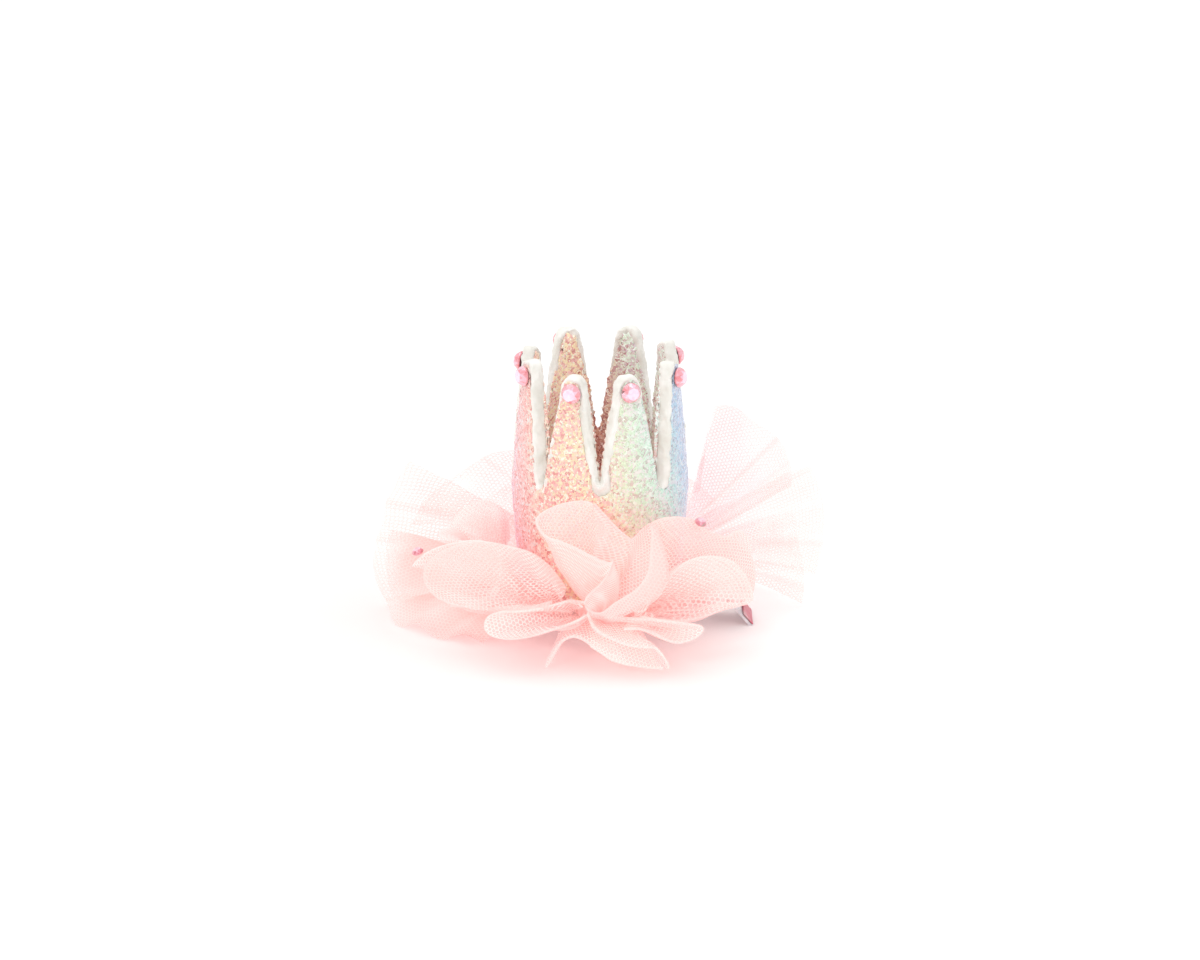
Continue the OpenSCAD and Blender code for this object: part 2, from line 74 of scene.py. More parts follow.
def gridMesh(name, points, uv=None, loopAround=False, loopAcross=False, masks=None):
    # quads over a grid of points; a grid that loops both ways is a closed shell, turned to face outwards
    n, m = points.shape[:2]
    i = np.arange(n if loopAround else n - 1)[:, None]
    j = np.arange(m if loopAcross else m - 1)[None, :]
    iNext, jNext = (i + 1) % n, (j + 1) % m
    corners = np.broadcast_arrays(i * m + j, iNext * m + j, iNext * m + jNext, i * m + jNext)
    quads = np.stack(corners, -1).reshape(-1, 4)
    flat = points.reshape(-1, 3)
    if loopAround and loopAcross:
        a, b, c, d = (flat[quads[:, k]] for k in range(4))
        if (a * np.cross(b, c)).sum() + (a * np.cross(c, d)).sum() < 0:
            quads = quads[:, ::-1]
    mesh = bpy.data.meshes.new(name)
    mesh.from_pydata((flat * 0.001).tolist(), [], quads.tolist())
    mesh.polygons.foreach_set("use_smooth", np.ones(len(quads), bool))
    if uv is not None:
        layer = mesh.uv_layers.new(name="UVMap")
        layer.data.foreach_set("uv", (uv.reshape(-1, 2)[quads.ravel()] * 0.001).ravel().astype(np.float32))
    for key, mask in (masks or {}).items():
        attribute = mesh.attributes.new(key, "FLOAT", "POINT")
        attribute.data.foreach_set("value", np.broadcast_to(mask, (n, m)).ravel().astype(np.float32))
    mesh.update()
    return mesh


def area(mesh):
    return sum(p.area for p in mesh.polygons)


def addObject(name, data):
    added = bpy.data.objects.new(name, data)
    bpy.context.scene.collection.objects.link(added)
    return added


def addPiece(name, mesh, material, node, body=mainBody):
    piece = addObject(name, mesh)
    mesh.materials.append(material)
    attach(piece, body)
    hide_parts(node)
    return piece


# node tools

class Graph:  # adds nodes to a material or a group, and links them by name
    def __init__(self, tree):
        self.tree = tree

    def set(self, node, inputs):
        for key, value in inputs.items():
            if isinstance(value, bpy.types.NodeSocket):
                self.tree.links.new(value, node.inputs[key])
            else:
                node.inputs[key].default_value = value

    def add(self, kind, inputs=None, **settings):
        node = self.tree.nodes.new(kind)
        for key, value in settings.items():
            setattr(node, key, value)
        self.set(node, inputs or {})
        return node

    def math(self, operation, a, b=0.0):
        return self.add("ShaderNodeMath", {0: a, 1: b}, operation=operation).outputs[0]

    def vector(self, operation, a, b=(0, 0, 0)):
        node = self.add("ShaderNodeVectorMath", {0: a, 1: b}, operation=operation)
        return node.outputs["Value" if operation == "LENGTH" else "Vector"]

    def range(self, value, low, high, toLow=0.0, toHigh=1.0):
        return self.add("ShaderNodeMapRange", {0: value, 1: low, 2: high, 3: toLow, 4: toHigh}).outputs[0]

    def between(self, factor, a, b):
        return self.add("ShaderNodeMix", {0: factor, 2: a, 3: b}).outputs[0]

    def mix(self, factor, a, b, blend="MIX"):
        return self.add("ShaderNodeMix", {0: factor, 6: a, 7: b}, data_type="RGBA", blend_type=blend).outputs[2]

    def ramp(self, value, stops):
        node = self.add("ShaderNodeValToRGB", {0: value})
        band = node.color_ramp.elements
        while len(band) < len(stops):
            band.new(0.5)
        for element, (place, colour) in zip(band, stops):
            element.position = place
            element.color = linear(colour)
        return node.outputs[0]

    def place(self):
        return self.add("ShaderNodeTexCoord").outputs["Object"]

    def uv(self):
        return self.add("ShaderNodeUVMap", uv_map="UVMap").outputs[0]

    def mask(self, name):
        return self.add("ShaderNodeAttribute", attribute_name=name).outputs["Fac"]

    def split(self, colour):
        return self.add("ShaderNodeSeparateColor", {0: colour}).outputs

    def cells(self, vector, scale):
        return self.add("ShaderNodeTexVoronoi", {"Vector": vector, "Scale": scale}).outputs

    def noise(self, vector, scale, detail, distortion=0.0):
        inputs = {"Vector": vector, "Scale": scale, "Detail": detail, "Distortion": distortion}
        return self.add("ShaderNodeTexNoise", inputs).outputs[0]

    def bump(self, height, strength, distance, **inputs):
        inputs.update({"Height": height, "Strength": strength, "Distance": distance})
        return self.add("ShaderNodeBump", inputs).outputs[0]


def newMaterial(name):
    material = bpy.data.materials.new(name)
    material.use_nodes = True
    material.node_tree.nodes.clear()
    graph = Graph(material.node_tree)
    shader = graph.add("ShaderNodeBsdfPrincipled")
    graph.add("ShaderNodeOutputMaterial", {"Surface": shader.outputs[0]})
    return material, graph, shader


def newGroup(name, inputs, outputs):
    tree = bpy.data.node_groups.new(name, "ShaderNodeTree")
    for label, kind, value in inputs:
        socket = tree.interface.new_socket(label, in_out="INPUT", socket_type="NodeSocket" + kind)
        if value is not None:
            socket.default_value = value
    for label, kind in outputs:
        tree.interface.new_socket(label, in_out="OUTPUT", socket_type="NodeSocket" + kind)
    graph = Graph(tree)
    return graph, graph.add("NodeGroupInput").outputs, graph.add("NodeGroupOutput")


# shared effects

def makeNetGroup():
    # round holes on a triangular lattice: the nearer of two rectangular lattices, half a step apart
    inputs = [("Vector", "Vector", None), ("Pitch", "Float", 0.001), ("Hole", "Float", 0.38)]
    g, given, out = newGroup("net holes", inputs, [("Thread", "Float")])
    tall = math.sqrt(3)
    step = {0: given["Pitch"], 1: g.math("MULTIPLY", given["Pitch"], tall), 2: 1.0}
    places = g.vector("DIVIDE", given["Vector"], g.add("ShaderNodeCombineXYZ", step).outputs[0])
    near = []
    for shift in (0.0, 0.5):
        part = g.vector("FRACTION", g.vector("ADD", places, (shift, shift, 0)))
        part = g.vector("MULTIPLY", g.vector("SUBTRACT", part, (0.5, 0.5, 0)), (1, tall, 0))
        near.append(g.vector("LENGTH", part))
    nearest, soft = g.math("MINIMUM", *near), 0.07
    thread = g.range(nearest, g.math("SUBTRACT", given["Hole"], soft), g.math("ADD", given["Hole"], soft))
    g.set(out, {"Thread": thread})
    return g.tree


def makeGlitterGroup():
    # flakes: each cell has its own tone and tilt, with finer flakes strewn between the large ones
    g, given, out = newGroup(
        "glitter flakes",
        [("Vector", "Vector", None), ("Flake", "Float", 0.0006), ("Tilt", "Float", 0.5),
         ("Sparks", "Float", 0.2)],
        [("Tone", "Float"), ("Spark", "Float"), ("Tint", "Float"), ("Normal", "Vector"), ("Height", "Float")])
    scale = g.math("DIVIDE", 1.0, given["Flake"])
    coarse, fine = g.cells(given["Vector"], scale), g.cells(given["Vector"], g.math("MULTIPLY", scale, 1.9))
    useFine = g.math("GREATER_THAN", g.split(fine["Color"])[2], 0.62)
    colour = g.mix(useFine, coarse["Color"], fine["Color"])
    tone, spark, tint = g.split(colour)[:3]
    tilt = g.vector("SUBTRACT", colour, (0.5, 0.5, 0.5))
    tilt = g.add("ShaderNodeVectorMath", {0: tilt, "Scale": given["Tilt"]}, operation="SCALE").outputs[0]
    normal = g.vector("NORMALIZE", g.vector("ADD", g.add("ShaderNodeNewGeometry").outputs["Normal"], tilt))
    # the flakes picked here carry a painted glint
    enough, full = (g.math("SUBTRACT", level, given["Sparks"]) for level in (1.0, 1.04))
    g.set(out, {"Tone": tone, "Spark": g.range(spark, enough, full), "Tint": tint, "Normal": normal,
                "Height": g.range(coarse["Distance"], 0.0, 0.6, 1.0, 0.0)})
    return g.tree


netGroup, glitterGroup = makeNetGroup(), makeGlitterGroup()


# materials

def makeNetMaterial(name, look):
    # thread and holes; the veil of several layers closes the holes at the gathers, and so does a folded edge
    material, g, shader = newMaterial(name)
    thread = g.add("ShaderNodeGroup", {"Vector": g.uv(), "Pitch": look["pitch"], "Hole": look["hole"]},
                   node_tree=netGroup).outputs["Thread"]
    edge, dense, under, faint = (g.mask(key) for key in ("edge", "dense", "under", "faint"))
    cover = g.range(thread, 0.0, 1.0, look["holeCover"], look["threadCover"])
    cover = g.between(g.math("MULTIPLY", under, 0.88), cover, look["underCover"])
    cover = g.between(g.math("MULTIPLY", dense, 0.8), cover, look["denseCover"])
    cover = g.between(g.math("MULTIPLY", edge, 0.85), cover, look["edgeCover"])
    # thin net lets part of the light through to what lies behind it
    seen = g.range(g.add("ShaderNodeLightPath").outputs["Is Camera Ray"], 0.0, 1.0, look["lightStopped"], 1.0)
    cover = g.math("MULTIPLY", g.math("MULTIPLY", cover, seen), g.math("SUBTRACT", 1.0, faint))
    patches = g.noise(g.place(), 90.0, 2.0)
    tone = g.mix(g.range(patches, 0.35, 0.65), linear(look["thread"]), linear(look["pale"]))
    tone = g.mix(g.math("MULTIPLY", dense, 0.6), tone, linear(look["deep"]))
    # the layer behind is in shadow, most of all near the gathers
    shadow = g.range(under, 0.5, 1.0, 0.0, look["underShade"])
    tone = g.mix(shadow, tone, linear(look["shaded"]))
    tone = g.mix(g.math("MULTIPLY", edge, 0.6), tone, linear(look["fold"]))
    # light that has come through the net; least of it deep in the gathers
    through = g.mix(g.math("MAXIMUM", g.math("MULTIPLY", dense, 0.7), shadow), tone, (0.1, 0.05, 0.05, 1))
    g.set(shader, {
        "Base Color": tone, "Alpha": cover, "Normal": g.bump(thread, 0.2, 0.0001), "Roughness": 0.6,
        "Sheen Weight": 0.2, "Sheen Roughness": 0.4, "Emission Color": through,
        "Emission Strength": look["glow"]})
    return material


netLook = {
    "pitch": 0.00105, "hole": 0.37, "holeCover": 0.12, "threadCover": 0.85, "denseCover": 0.78,
    "edgeCover": 0.72, "underCover": 0.42, "lightStopped": 0.6, "underShade": 0.56, "glow": 0.34,
    "shaded": (218, 128, 126),
    "thread": (255, 212, 207), "pale": (255, 218, 214), "deep": (253, 205, 199), "fold": (255, 215, 210)
}
singleLook = {
    **netLook, "holeCover": 0.22, "threadCover": 0.76, "denseCover": 0.8, "edgeCover": 0.6, "underShade": 0.22,
    "glow": 0.24, "thread": (255, 221, 217), "pale": (255, 227, 224), "deep": (254, 210, 203),
    "fold": (255, 228, 224)
}
foldedNet = makeNetMaterial("folded net", netLook)
leftNet = makeNetMaterial("left net", singleLook)
rightNet = makeNetMaterial("right net", singleLook)


def makeGlitterMaterial(name, look):
    material, g, shader = newMaterial(name)
    place = g.place()
    around = g.add("ShaderNodeTexGradient", {"Vector": place}, gradient_type="RADIAL").outputs["Fac"]
    height = g.add("ShaderNodeSeparateXYZ", {0: place}).outputs[2]
    around = g.math("ADD", around, g.range(height, 0.02, 0.07, -look["slant"], look["slant"]))
    flakes = g.add("ShaderNodeGroup", {"Vector": place, "Flake": look["flake"], "Tilt": look["tilt"],
                                       "Sparks": look["sparks"]}, node_tree=glitterGroup).outputs
    colour, spark, shade = (g.ramp(around, look[key]) for key in ("around", "sparkAround", "shade"))
    dark = g.mix(1.0, colour, shade, "MULTIPLY")
    colour = g.mix(g.range(flakes["Tone"], 0.05, 0.75), dark, colour)
    colour = g.mix(g.math("MULTIPLY", g.range(flakes["Tint"], 0.62, 0.8), look["tint"]), colour, spark)
    # painted glints: the picked flakes turn towards white in their spark colour
    colour = g.mix(flakes["Spark"], colour, g.mix(0.55, spark, (1, 1, 1, 1)))
    # the inside is dusky low down, where little light comes
    dusky = g.mix(1.0, colour, linear((232, 212, 212)), "MULTIPLY")
    colour = g.mix(g.range(height, 0.038, 0.05, look["dusk"], 0.0), colour, dusky)
    # a glow, where the look gives one (the inner glitter), is painted light
    g.set(shader, {
        "Base Color": colour, "Normal": g.bump(flakes["Height"], 0.4, 0.0002, Normal=flakes["Normal"]),
        "Metallic": look["metallic"], "Roughness": g.range(flakes["Tone"], 0, 1, 0.18, 0.42),
        "Coat Weight": 0.3, "Coat Roughness": 0.15, "Emission Color": colour,
        "Emission Strength": look["glow"]})
    return material


glitterOuterLook = {
    "flake": 0.00075, "tilt": 0.7, "sparks": 0.17, "tint": 0.75, "metallic": 0.12, "slant": 0.03, "glow": 0.0,
    "dusk": 0.0,
    "shade": [(0.2, (230, 200, 198)), (0.27, (226, 206, 200)), (0.33, (216, 215, 206)),
              (0.442, (208, 214, 222)), (0.7, (216, 208, 222)), (0.85, (230, 200, 198))],
    "around": [(0.0, (252, 192, 196)), (0.069, (254, 194, 190)), (0.13, (255, 192, 188)),
               (0.193, (255, 200, 198)), (0.235, (255, 208, 200)), (0.275, (255, 232, 222)),
               (0.32, (246, 240, 234)), (0.37, (234, 236, 236)), (0.442, (212, 220, 240)),
               (0.564, (206, 202, 236)), (0.686, (232, 206, 228)), (0.822, (250, 200, 204)),
               (0.947, (254, 200, 198))],
    "sparkAround": [(0.0, (255, 204, 236)), (0.08, (255, 222, 218)), (0.14, (255, 240, 206)),
                    (0.2, (255, 246, 196)), (0.25, (252, 250, 208)), (0.311, (230, 252, 212)),
                    (0.38, (206, 250, 232)),
                    (0.442, (196, 232, 255)), (0.564, (220, 214, 255)), (0.75, (255, 226, 250)),
                    (0.95, (255, 214, 236))]
}
glitterInnerLook = {
    "flake": 0.00075, "tilt": 0.7, "sparks": 0.2, "tint": 0.7, "metallic": 0.05, "slant": 0.0, "glow": 0.13,
    "dusk": 1.0, "shade": [(0.0, (222, 190, 186)), (1.0, (222, 190, 186))],
    # darker round the back wall (0.72 to 0.775): the sheet's own colour with painted shade, deep inside the
    # crown
    "around": [(0.0, (246, 196, 184)), (0.2, (250, 206, 196)), (0.45, (232, 208, 206)), (0.6, (228, 212, 214)),
               (0.686, (222, 204, 212)), (0.72, (214, 176, 176)), (0.745, (204, 148, 140)),
               (0.775, (212, 150, 140)), (0.822, (255, 208, 204)), (0.88, (255, 212, 206)),
               (1.0, (246, 196, 184))],
    "sparkAround": [(0.0, (255, 230, 200)), (0.4, (230, 250, 240)), (0.686, (222, 250, 220)),
                    (0.75, (246, 202, 176)), (0.822, (255, 250, 196)), (1.0, (255, 230, 200))]
}
glitterOuter = makeGlitterMaterial("outer glitter", glitterOuterLook)
glitterInner = makeGlitterMaterial("inner glitter", glitterInnerLook)


def makeFoamMaterial():
    material, g, shader = newMaterial("foam")
    place = g.place()
    patches = g.range(g.noise(place, 180.0, 4.0), 0.38, 0.62)
    colour = g.mix(patches, linear((237, 235, 227)), linear((250, 248, 243)))
    relief = g.bump(g.noise(place, 2600.0, 3.0), 0.35, 0.00015)
    g.set(shader, {"Base Color": colour, "Normal": relief, "Roughness": 0.62, "Sheen Weight": 0.15})
    return material


def makeFeltMaterial():
    material, g, shader = newMaterial("felt")
    fuzz = g.noise(g.place(), 3400.0, 4.0, 1.5)
    colour = g.mix(g.range(fuzz, 0.35, 0.65), linear((238, 196, 196)), linear((248, 216, 214)))
    relief = g.bump(fuzz, 0.6, 0.0002)
    g.set(shader, {"Base Color": colour, "Normal": relief, "Roughness": 0.9, "Sheen Weight": 0.4})
    return material


def makeStoneMaterial(name, look):
    # each facet has its own tone, painted light and shade: brightest on the table and darkest on the back; the
    # pattern under the table is the foil at the back, seen through the stone
    material, g, shader = newMaterial(name)
    facet = g.mask("facet")
    shard = g.split(g.cells(g.uv(), look["shards"])["Color"])[0]
    shard = g.math("MULTIPLY", g.math("MULTIPLY", shard, 0.28), g.math("GREATER_THAN", facet, 0.02))
    colour = g.ramp(g.math("ADD", g.math("MULTIPLY", facet, 0.72), shard), look["tones"])
    g.set(shader, {"Base Color": colour, "Roughness": 0.06, "Metallic": 0.15, "Coat Weight": 0.8,
                   "Coat Roughness": 0.03, "Specular IOR Level": 0.8})
    return material


tipStoneLook = {
    "shards": 1500.0,
    "tones": [(0.0, (136, 96, 94)), (0.03, (226, 112, 120)), (0.2, (244, 142, 150)), (0.42, (252, 184, 196)),
              (0.62, (253, 208, 226)), (0.8, (254, 222, 242)), (1.0, (255, 238, 252))]
}
netStoneLook = {
    "shards": 1900.0,
    "tones": [(0.0, (150, 128, 122)), (0.1, (196, 156, 152)), (0.2, (226, 122, 134)), (0.4, (242, 152, 168)),
              (0.7, (251, 196, 210)), (1.0, (255, 232, 240))]
}
tipStoneMaterial = makeStoneMaterial("tip stone", tipStoneLook)
netStoneMaterial = makeStoneMaterial("net stone", netStoneLook)


def makeSteelMaterial(name, tone, rough):
    material, g, shader = newMaterial(name)
    place = g.place()
    stretched = g.add("ShaderNodeMapping", {"Vector": place, "Scale": (300, 6000, 6000)}).outputs[0]
    smudge = g.noise(place, 260.0, 3.0)
    colour = g.mix(g.range(smudge, 0.4, 0.62), linear(tone), linear([c * 0.9 for c in tone]))
    g.set(shader, {"Base Color": colour, "Normal": g.bump(g.noise(stretched, 1.0, 2.0), 0.12, 0.00005),
                   "Metallic": 0.65, "Roughness": g.range(smudge, 0.35, 0.65, rough, rough + 0.12)})
    return material


def makeSatinMaterial():
    material, g, shader = newMaterial("satin ribbon")
    uv = g.uv()
    rows = g.add("ShaderNodeTexWave", {"Vector": uv, "Scale": 900.0, "Distortion": 0.6, "Detail": 1.0},
                 bands_direction="Y").outputs["Fac"]
    colour = g.mix(g.range(g.noise(uv, 420.0, 3.0), 0.35, 0.65), linear((190, 62, 86)), linear((210, 92, 114)))
    colour = g.mix(g.range(rows, 0.0, 1.0, 0.0, 0.2), colour, linear((240, 170, 184)))
    # painted highlight: a paler corner at the front of its upper edge, where the edge catches the light
    corner = g.add("ShaderNodeSeparateXYZ", {0: uv}).outputs
    edgeHighlight = g.range(g.math("ADD", corner[0], corner[1]), -0.0034, -0.0018, 0.65, 0.0)
    colour = g.mix(edgeHighlight, colour, linear((214, 184, 186)))
    # the satin's colour also glows faintly: painted light
    g.set(shader, {"Base Color": colour, "Normal": g.bump(rows, 0.3, 0.00006), "Roughness": 0.4,
                   "Sheen Weight": 0.3, "Emission Color": colour, "Emission Strength": 0.12})
    return material


foam, felt, satin = makeFoamMaterial(), makeFeltMaterial(), makeSatinMaterial()
steel = makeSteelMaterial("pressed steel", (232, 228, 232), 0.3)
wire = makeSteelMaterial("spring wire", (176, 174, 178), 0.3)
print("materials made")


# the crown

crown = {
    "footDiameter": 44.6, "tipRingDiameter": 39.6, "footHeight": 10.6, "bellyHeight": 38.0, "topHeight": 74.0,
    "notchHeight": 41.0, "notchRadius": 2.0, "pinch": 2.0, "pointWidth": 14.4, "tipWidth": 6.0, "spacing": 0.55,
    # the azimuth of the front notch, and how much the first point is slimmed beside it
    "frontNotch": 270.75, "slimmed": 0.9,
    # azimuth, height of the tip, sideways lean, rise of the notch before it and of the notch after it
    "points": [(249.5, 70.8, 0.3, 0, 3), (292, 71.0, -0.3, 3, 0), (339, 71.1, 0, 0, 0), (383, 71.9, 0, 0, 0),
               (427, 73.0, 0, 0, 3.5), (476, 72.8, 0, 3.5, 0), (521, 70.9, 0, 0, 0), (565, 71.9, 0, 0, 0)]
}
crownRadius = crown["footDiameter"] / 2


def outerRadius(z):
    belly = crown["bellyHeight"]
    lean = np.clip((z - belly) / (crown["topHeight"] - belly), 0, None)
    pinch = crown["pinch"] * np.clip((belly - z) / (belly - crown["footHeight"]), 0, 1) ** 1.3
    return (crown["footDiameter"] + (crown["tipRingDiameter"] - crown["footDiameter"]) * lean) / 2 - pinch


def crownOutline():
    # the rim as one closed line, unrolled: for each point half a notch, a straight side, the round tip and
    # back down
    wide, high = [], []
    points, tipRadius, notchRadius = crown["points"], crown["tipWidth"] / 2, crown["notchRadius"]
    for i, (azimuth, tip, lean, before, after) in enumerate(points):
        last = points[i - 1][0] - (360 if i == 0 else 0)
        following = points[(i + 1) % len(points)][0] + (360 if i == len(points) - 1 else 0)
        for side, gap, rise in ((-1, azimuth - last, before), (1, following - azimuth, after)):
            reach = crownRadius * math.sin(math.radians(gap / 2))
            footX = crown["pointWidth"] / 2 + notchRadius - (crown["slimmed"] if i == 0 and side > 0 else 0)
            stop = 360 - math.degrees(math.acos(np.clip((reach - footX) / notchRadius, -1, 0)))
            cap, foot = np.radians(np.linspace(90, 10, 24)), np.radians(np.linspace(190, stop, 24))
            atTip, atNotch = side * lean + tipRadius * np.cos(cap), footX + notchRadius * np.cos(foot)
            x = np.concatenate([atTip, atNotch, [reach]])
            notch = crown["notchHeight"] + rise + notchRadius * (1 + np.sin(foot))
            z = np.concatenate([tip + tipRadius * (np.sin(cap) - 1), notch, notch[-1:]])
            if side < 0:
                x, z = -x[::-1], z[::-1]
            wide.append(crownRadius * (math.radians(azimuth) + np.arcsin(np.clip(x / crownRadius, -1, 1))))
            high.append(z)
    wide, high = np.concatenate(wide), np.concatenate(high)
    around = 2 * np.pi * crownRadius
    wide, high = np.append(wide, wide[0] + around), np.append(high, high[0])
    along = np.concatenate([[0], np.cumsum(np.hypot(np.diff(wide), np.diff(high)) + 1e-9)])
    count = int(along[-1] / crown["spacing"])
    at = np.linspace(0, along[-1], count, endpoint=False)
    wide, high = np.interp(at, along, wide) - around * at / along[-1], np.interp(at, along, high)
    kernel = np.exp(-0.5 * (np.arange(-4, 5) / 1.1) ** 2)
    kernel /= kernel.sum()
    wide, high = (sum(w * np.roll(line, k - 4) for k, w in enumerate(kernel)) for line in (wide, high))
    wide = wide + around * at / along[-1]
    ahead = np.roll(wide, -1) + np.where(np.arange(count) == count - 1, around, 0)
    behind = np.roll(wide, 1) - np.where(np.arange(count) == 0, around, 0)
    return wide, high, unit(np.stack([ahead - behind, np.roll(high, -1) - np.roll(high, 1)], -1))


rimWide, rimHigh, rimWay = crownOutline()
# how far the cut edge is turned to the front: 1 when it faces -Y, below 0 when it faces away
rimFront = np.cos(rimWide / crownRadius) * rimWay[:, 1]
# how far round the crown from its front notch, in radians
pastNotch = rimWide / crownRadius - math.radians(crown["frontNotch"])
frontNotch = np.abs(pastNotch)


def onCrown(wide, z, depth):
    # from the unrolled outline to the wall: across a point the sides stay parallel, and at a notch they meet
    angle = wide / crownRadius
    centres = np.radians([p[0] for p in crown["points"]])
    order = np.sort(np.add.outer(centres, [-2 * np.pi, 0, 2 * np.pi]).ravel())
    index = np.clip(np.searchsorted((order[1:] + order[:-1]) / 2, angle), 0, len(order) - 1)
    centre = order[index]
    ahead, behind = order[np.minimum(index + 1, len(order) - 1)], order[np.maximum(index - 1, 0)]
    nearby = np.where(angle > centre, ahead - centre, centre - behind)
    x = crownRadius * np.sin(angle - centre)
    r = outerRadius(z) - depth
    share = np.abs(x) / np.maximum(crownRadius * np.sin(nearby / 2), 1e-6)
    x = x * (1 - (1 - r / crownRadius) * np.clip(share, 0, 1) ** 8)
    out = np.sqrt(np.maximum(r * r - x * x, 0.01))
    c, s = np.cos(centre), np.sin(centre)
    return np.stack([out * c - x * s, out * s + x * c, z], -1)


def crownShell(rows, edge=(0, 0)):
    # rows are (inset from the rim, depth behind the outer face, share of the way down to the foot); the edge
    # is a further inset all the way down and a ragged one that fades below the rim
    rings = []
    for inset, depth, down in rows:
        inset = inset + edge[0] + edge[1] * max(1 - 25 * down, 0)
        z = rimHigh - inset * rimWay[:, 0]
        rings.append(onCrown(rimWide + inset * rimWay[:, 1], z + (crown["footHeight"] - z) * down, depth))
    return np.stack(rings, 1)


foamSize = {
    "depth": 0.65, "thick": 2.5, "bulge": 0.36, "round": 0.8, "unevenness": 0.17, "torn": 0.13, "swell": 0.6
}


def makeFoam():
    s = foamSize
    middle, half = s["depth"] + s["thick"] / 2, s["thick"] / 2 + s["bulge"]
    turn = np.linspace(0, np.pi, 15)
    rim = [(s["round"] * (1 - abs(b) ** 0.75), middle - half * squared(a, 0.75), 0.0)
           for a, b in zip(np.cos(turn), np.sin(turn))]
    sides = []
    for depth, bulge in ((s["depth"], -s["bulge"] * 0.6), (s["depth"] + s["thick"], s["bulge"] * 0.6)):
        down = (0.0, 0.02, 0.06, 0.12, 0.2, 0.35, 0.5, 0.65, 0.8, 0.92, 0.985, 1.0)
        sides.append([(s["round"] + 0.5, depth + bulge, 0.0)] + [(s["round"] + 1.0, depth, d) for d in down])
    rows = sides[0][::-1] + rim + sides[1]
    # the cut edges that face the front are swollen into the notches
    swell = smooth(rimFront, 0.05, 0.3) * (1 - smooth(rimFront, 0.5, 0.9)) * smooth(frontNotch, 0.2, 0.36)
    points = crownShell(rows, (0, -s["swell"] * swell))
    fade = np.array([1 - r[2] for r in rows]) ** 3
    points += unit(points * [1, 1, 0]) * (fade * s["unevenness"] * ripple(points, 3.2, 3))[..., None]
    points[..., 2] += fade * s["unevenness"] * 0.8 * ripple(points, 4.0, 4)
    points += (fade ** 12 * s["torn"])[..., None] * np.stack([ripple(points, 1.5, 5 + k) for k in range(3)], -1)
    mesh = gridMesh("foam_wall", points, loopAround=True, loopAcross=True)
    addPiece("foam_wall", mesh, foam, "crown_core")


# inset from the foam's rim: on edges turned away and on edges turned to the front; more at the tips and the
# front notch
glitterSize = {
    "outer": {"front": 0.2, "back": 0.72, "inset": (0.12, 0.8), "atTips": 0.45, "atFrontNotch": 2.9,
              "besideNotch": (1.2, 0.5), "ragged": 0.08, "relief": 0.07},
    "inner": {"front": 3.72, "back": 3.1, "inset": (0.0, -0.85), "atTips": 1.5, "atFrontNotch": 0.0,
              "besideNotch": (0.5, 0.5), "ragged": 0.2, "relief": 0.09}
}


def makeGlitter(name, size, material, node, seed):
    line = np.stack([rimWide, rimHigh, 0 * rimWide], -1)
    wobble = size["ragged"] * (ripple(line, 1.6, seed) + 0.7 * ripple(line, 0.7, seed + 1))
    (away, towards), front, back = size["inset"], size["front"], size["back"]
    inset = away + (towards - away) * smooth(rimFront, -0.05, 0.25) + size["atTips"] * smooth(rimHigh, 56, 70)
    inset = inset + size["atFrontNotch"] * (1 - smooth(frontNotch, 0.0, 0.12)) * (1 - smooth(rimHigh, 44, 50))
    beside = np.where(pastNotch < 0, *size["besideNotch"])
    halfway = smooth(rimHigh, 45, 52) * (1 - smooth(rimHigh, 60, 68))
    inset = inset + beside * (1 - smooth(frontNotch, 0.24, 0.32)) * halfway
    rows = [(0.3, back, d) for d in (1.0, 0.5, 0.0)]
    rows += [(0.0, (front + back) / 2, 0.0), (0.1, front * 0.85 + back * 0.15, 0.0)]
    rows += [(0.3, front, d) for d in np.linspace(0, 1, 62)]
    points = crownShell(rows, (inset, wobble))
    outwards = unit(points * [1, 1, 0]) * (1 if front < back else -1)
    shown = np.array([0, 0, 0] + [1] * (len(rows) - 4) + [0])
    points += outwards * (shown * size["relief"] * ripple(points, 3.0, seed + 2, 24))[..., None]
    addPiece(name, gridMesh(name, points, loopAround=True, loopAcross=True), material, node)


makeFoam()
makeGlitter("glitter_outside", glitterSize["outer"], glitterOuter, "glitter_outer", 11)
makeGlitter("glitter_inside", glitterSize["inner"], glitterInner, "glitter_inner", 21)
print("crown made")


# cut stones

stone = {
    "tipDiameter": 5.0, "tipHeight": 1.9, "netDiameter": 3.0, "netHeight": 1.02, "drop": 4.0, "proud": 0.05,
    "backRise": 0.2, "backShift": 0.65
}


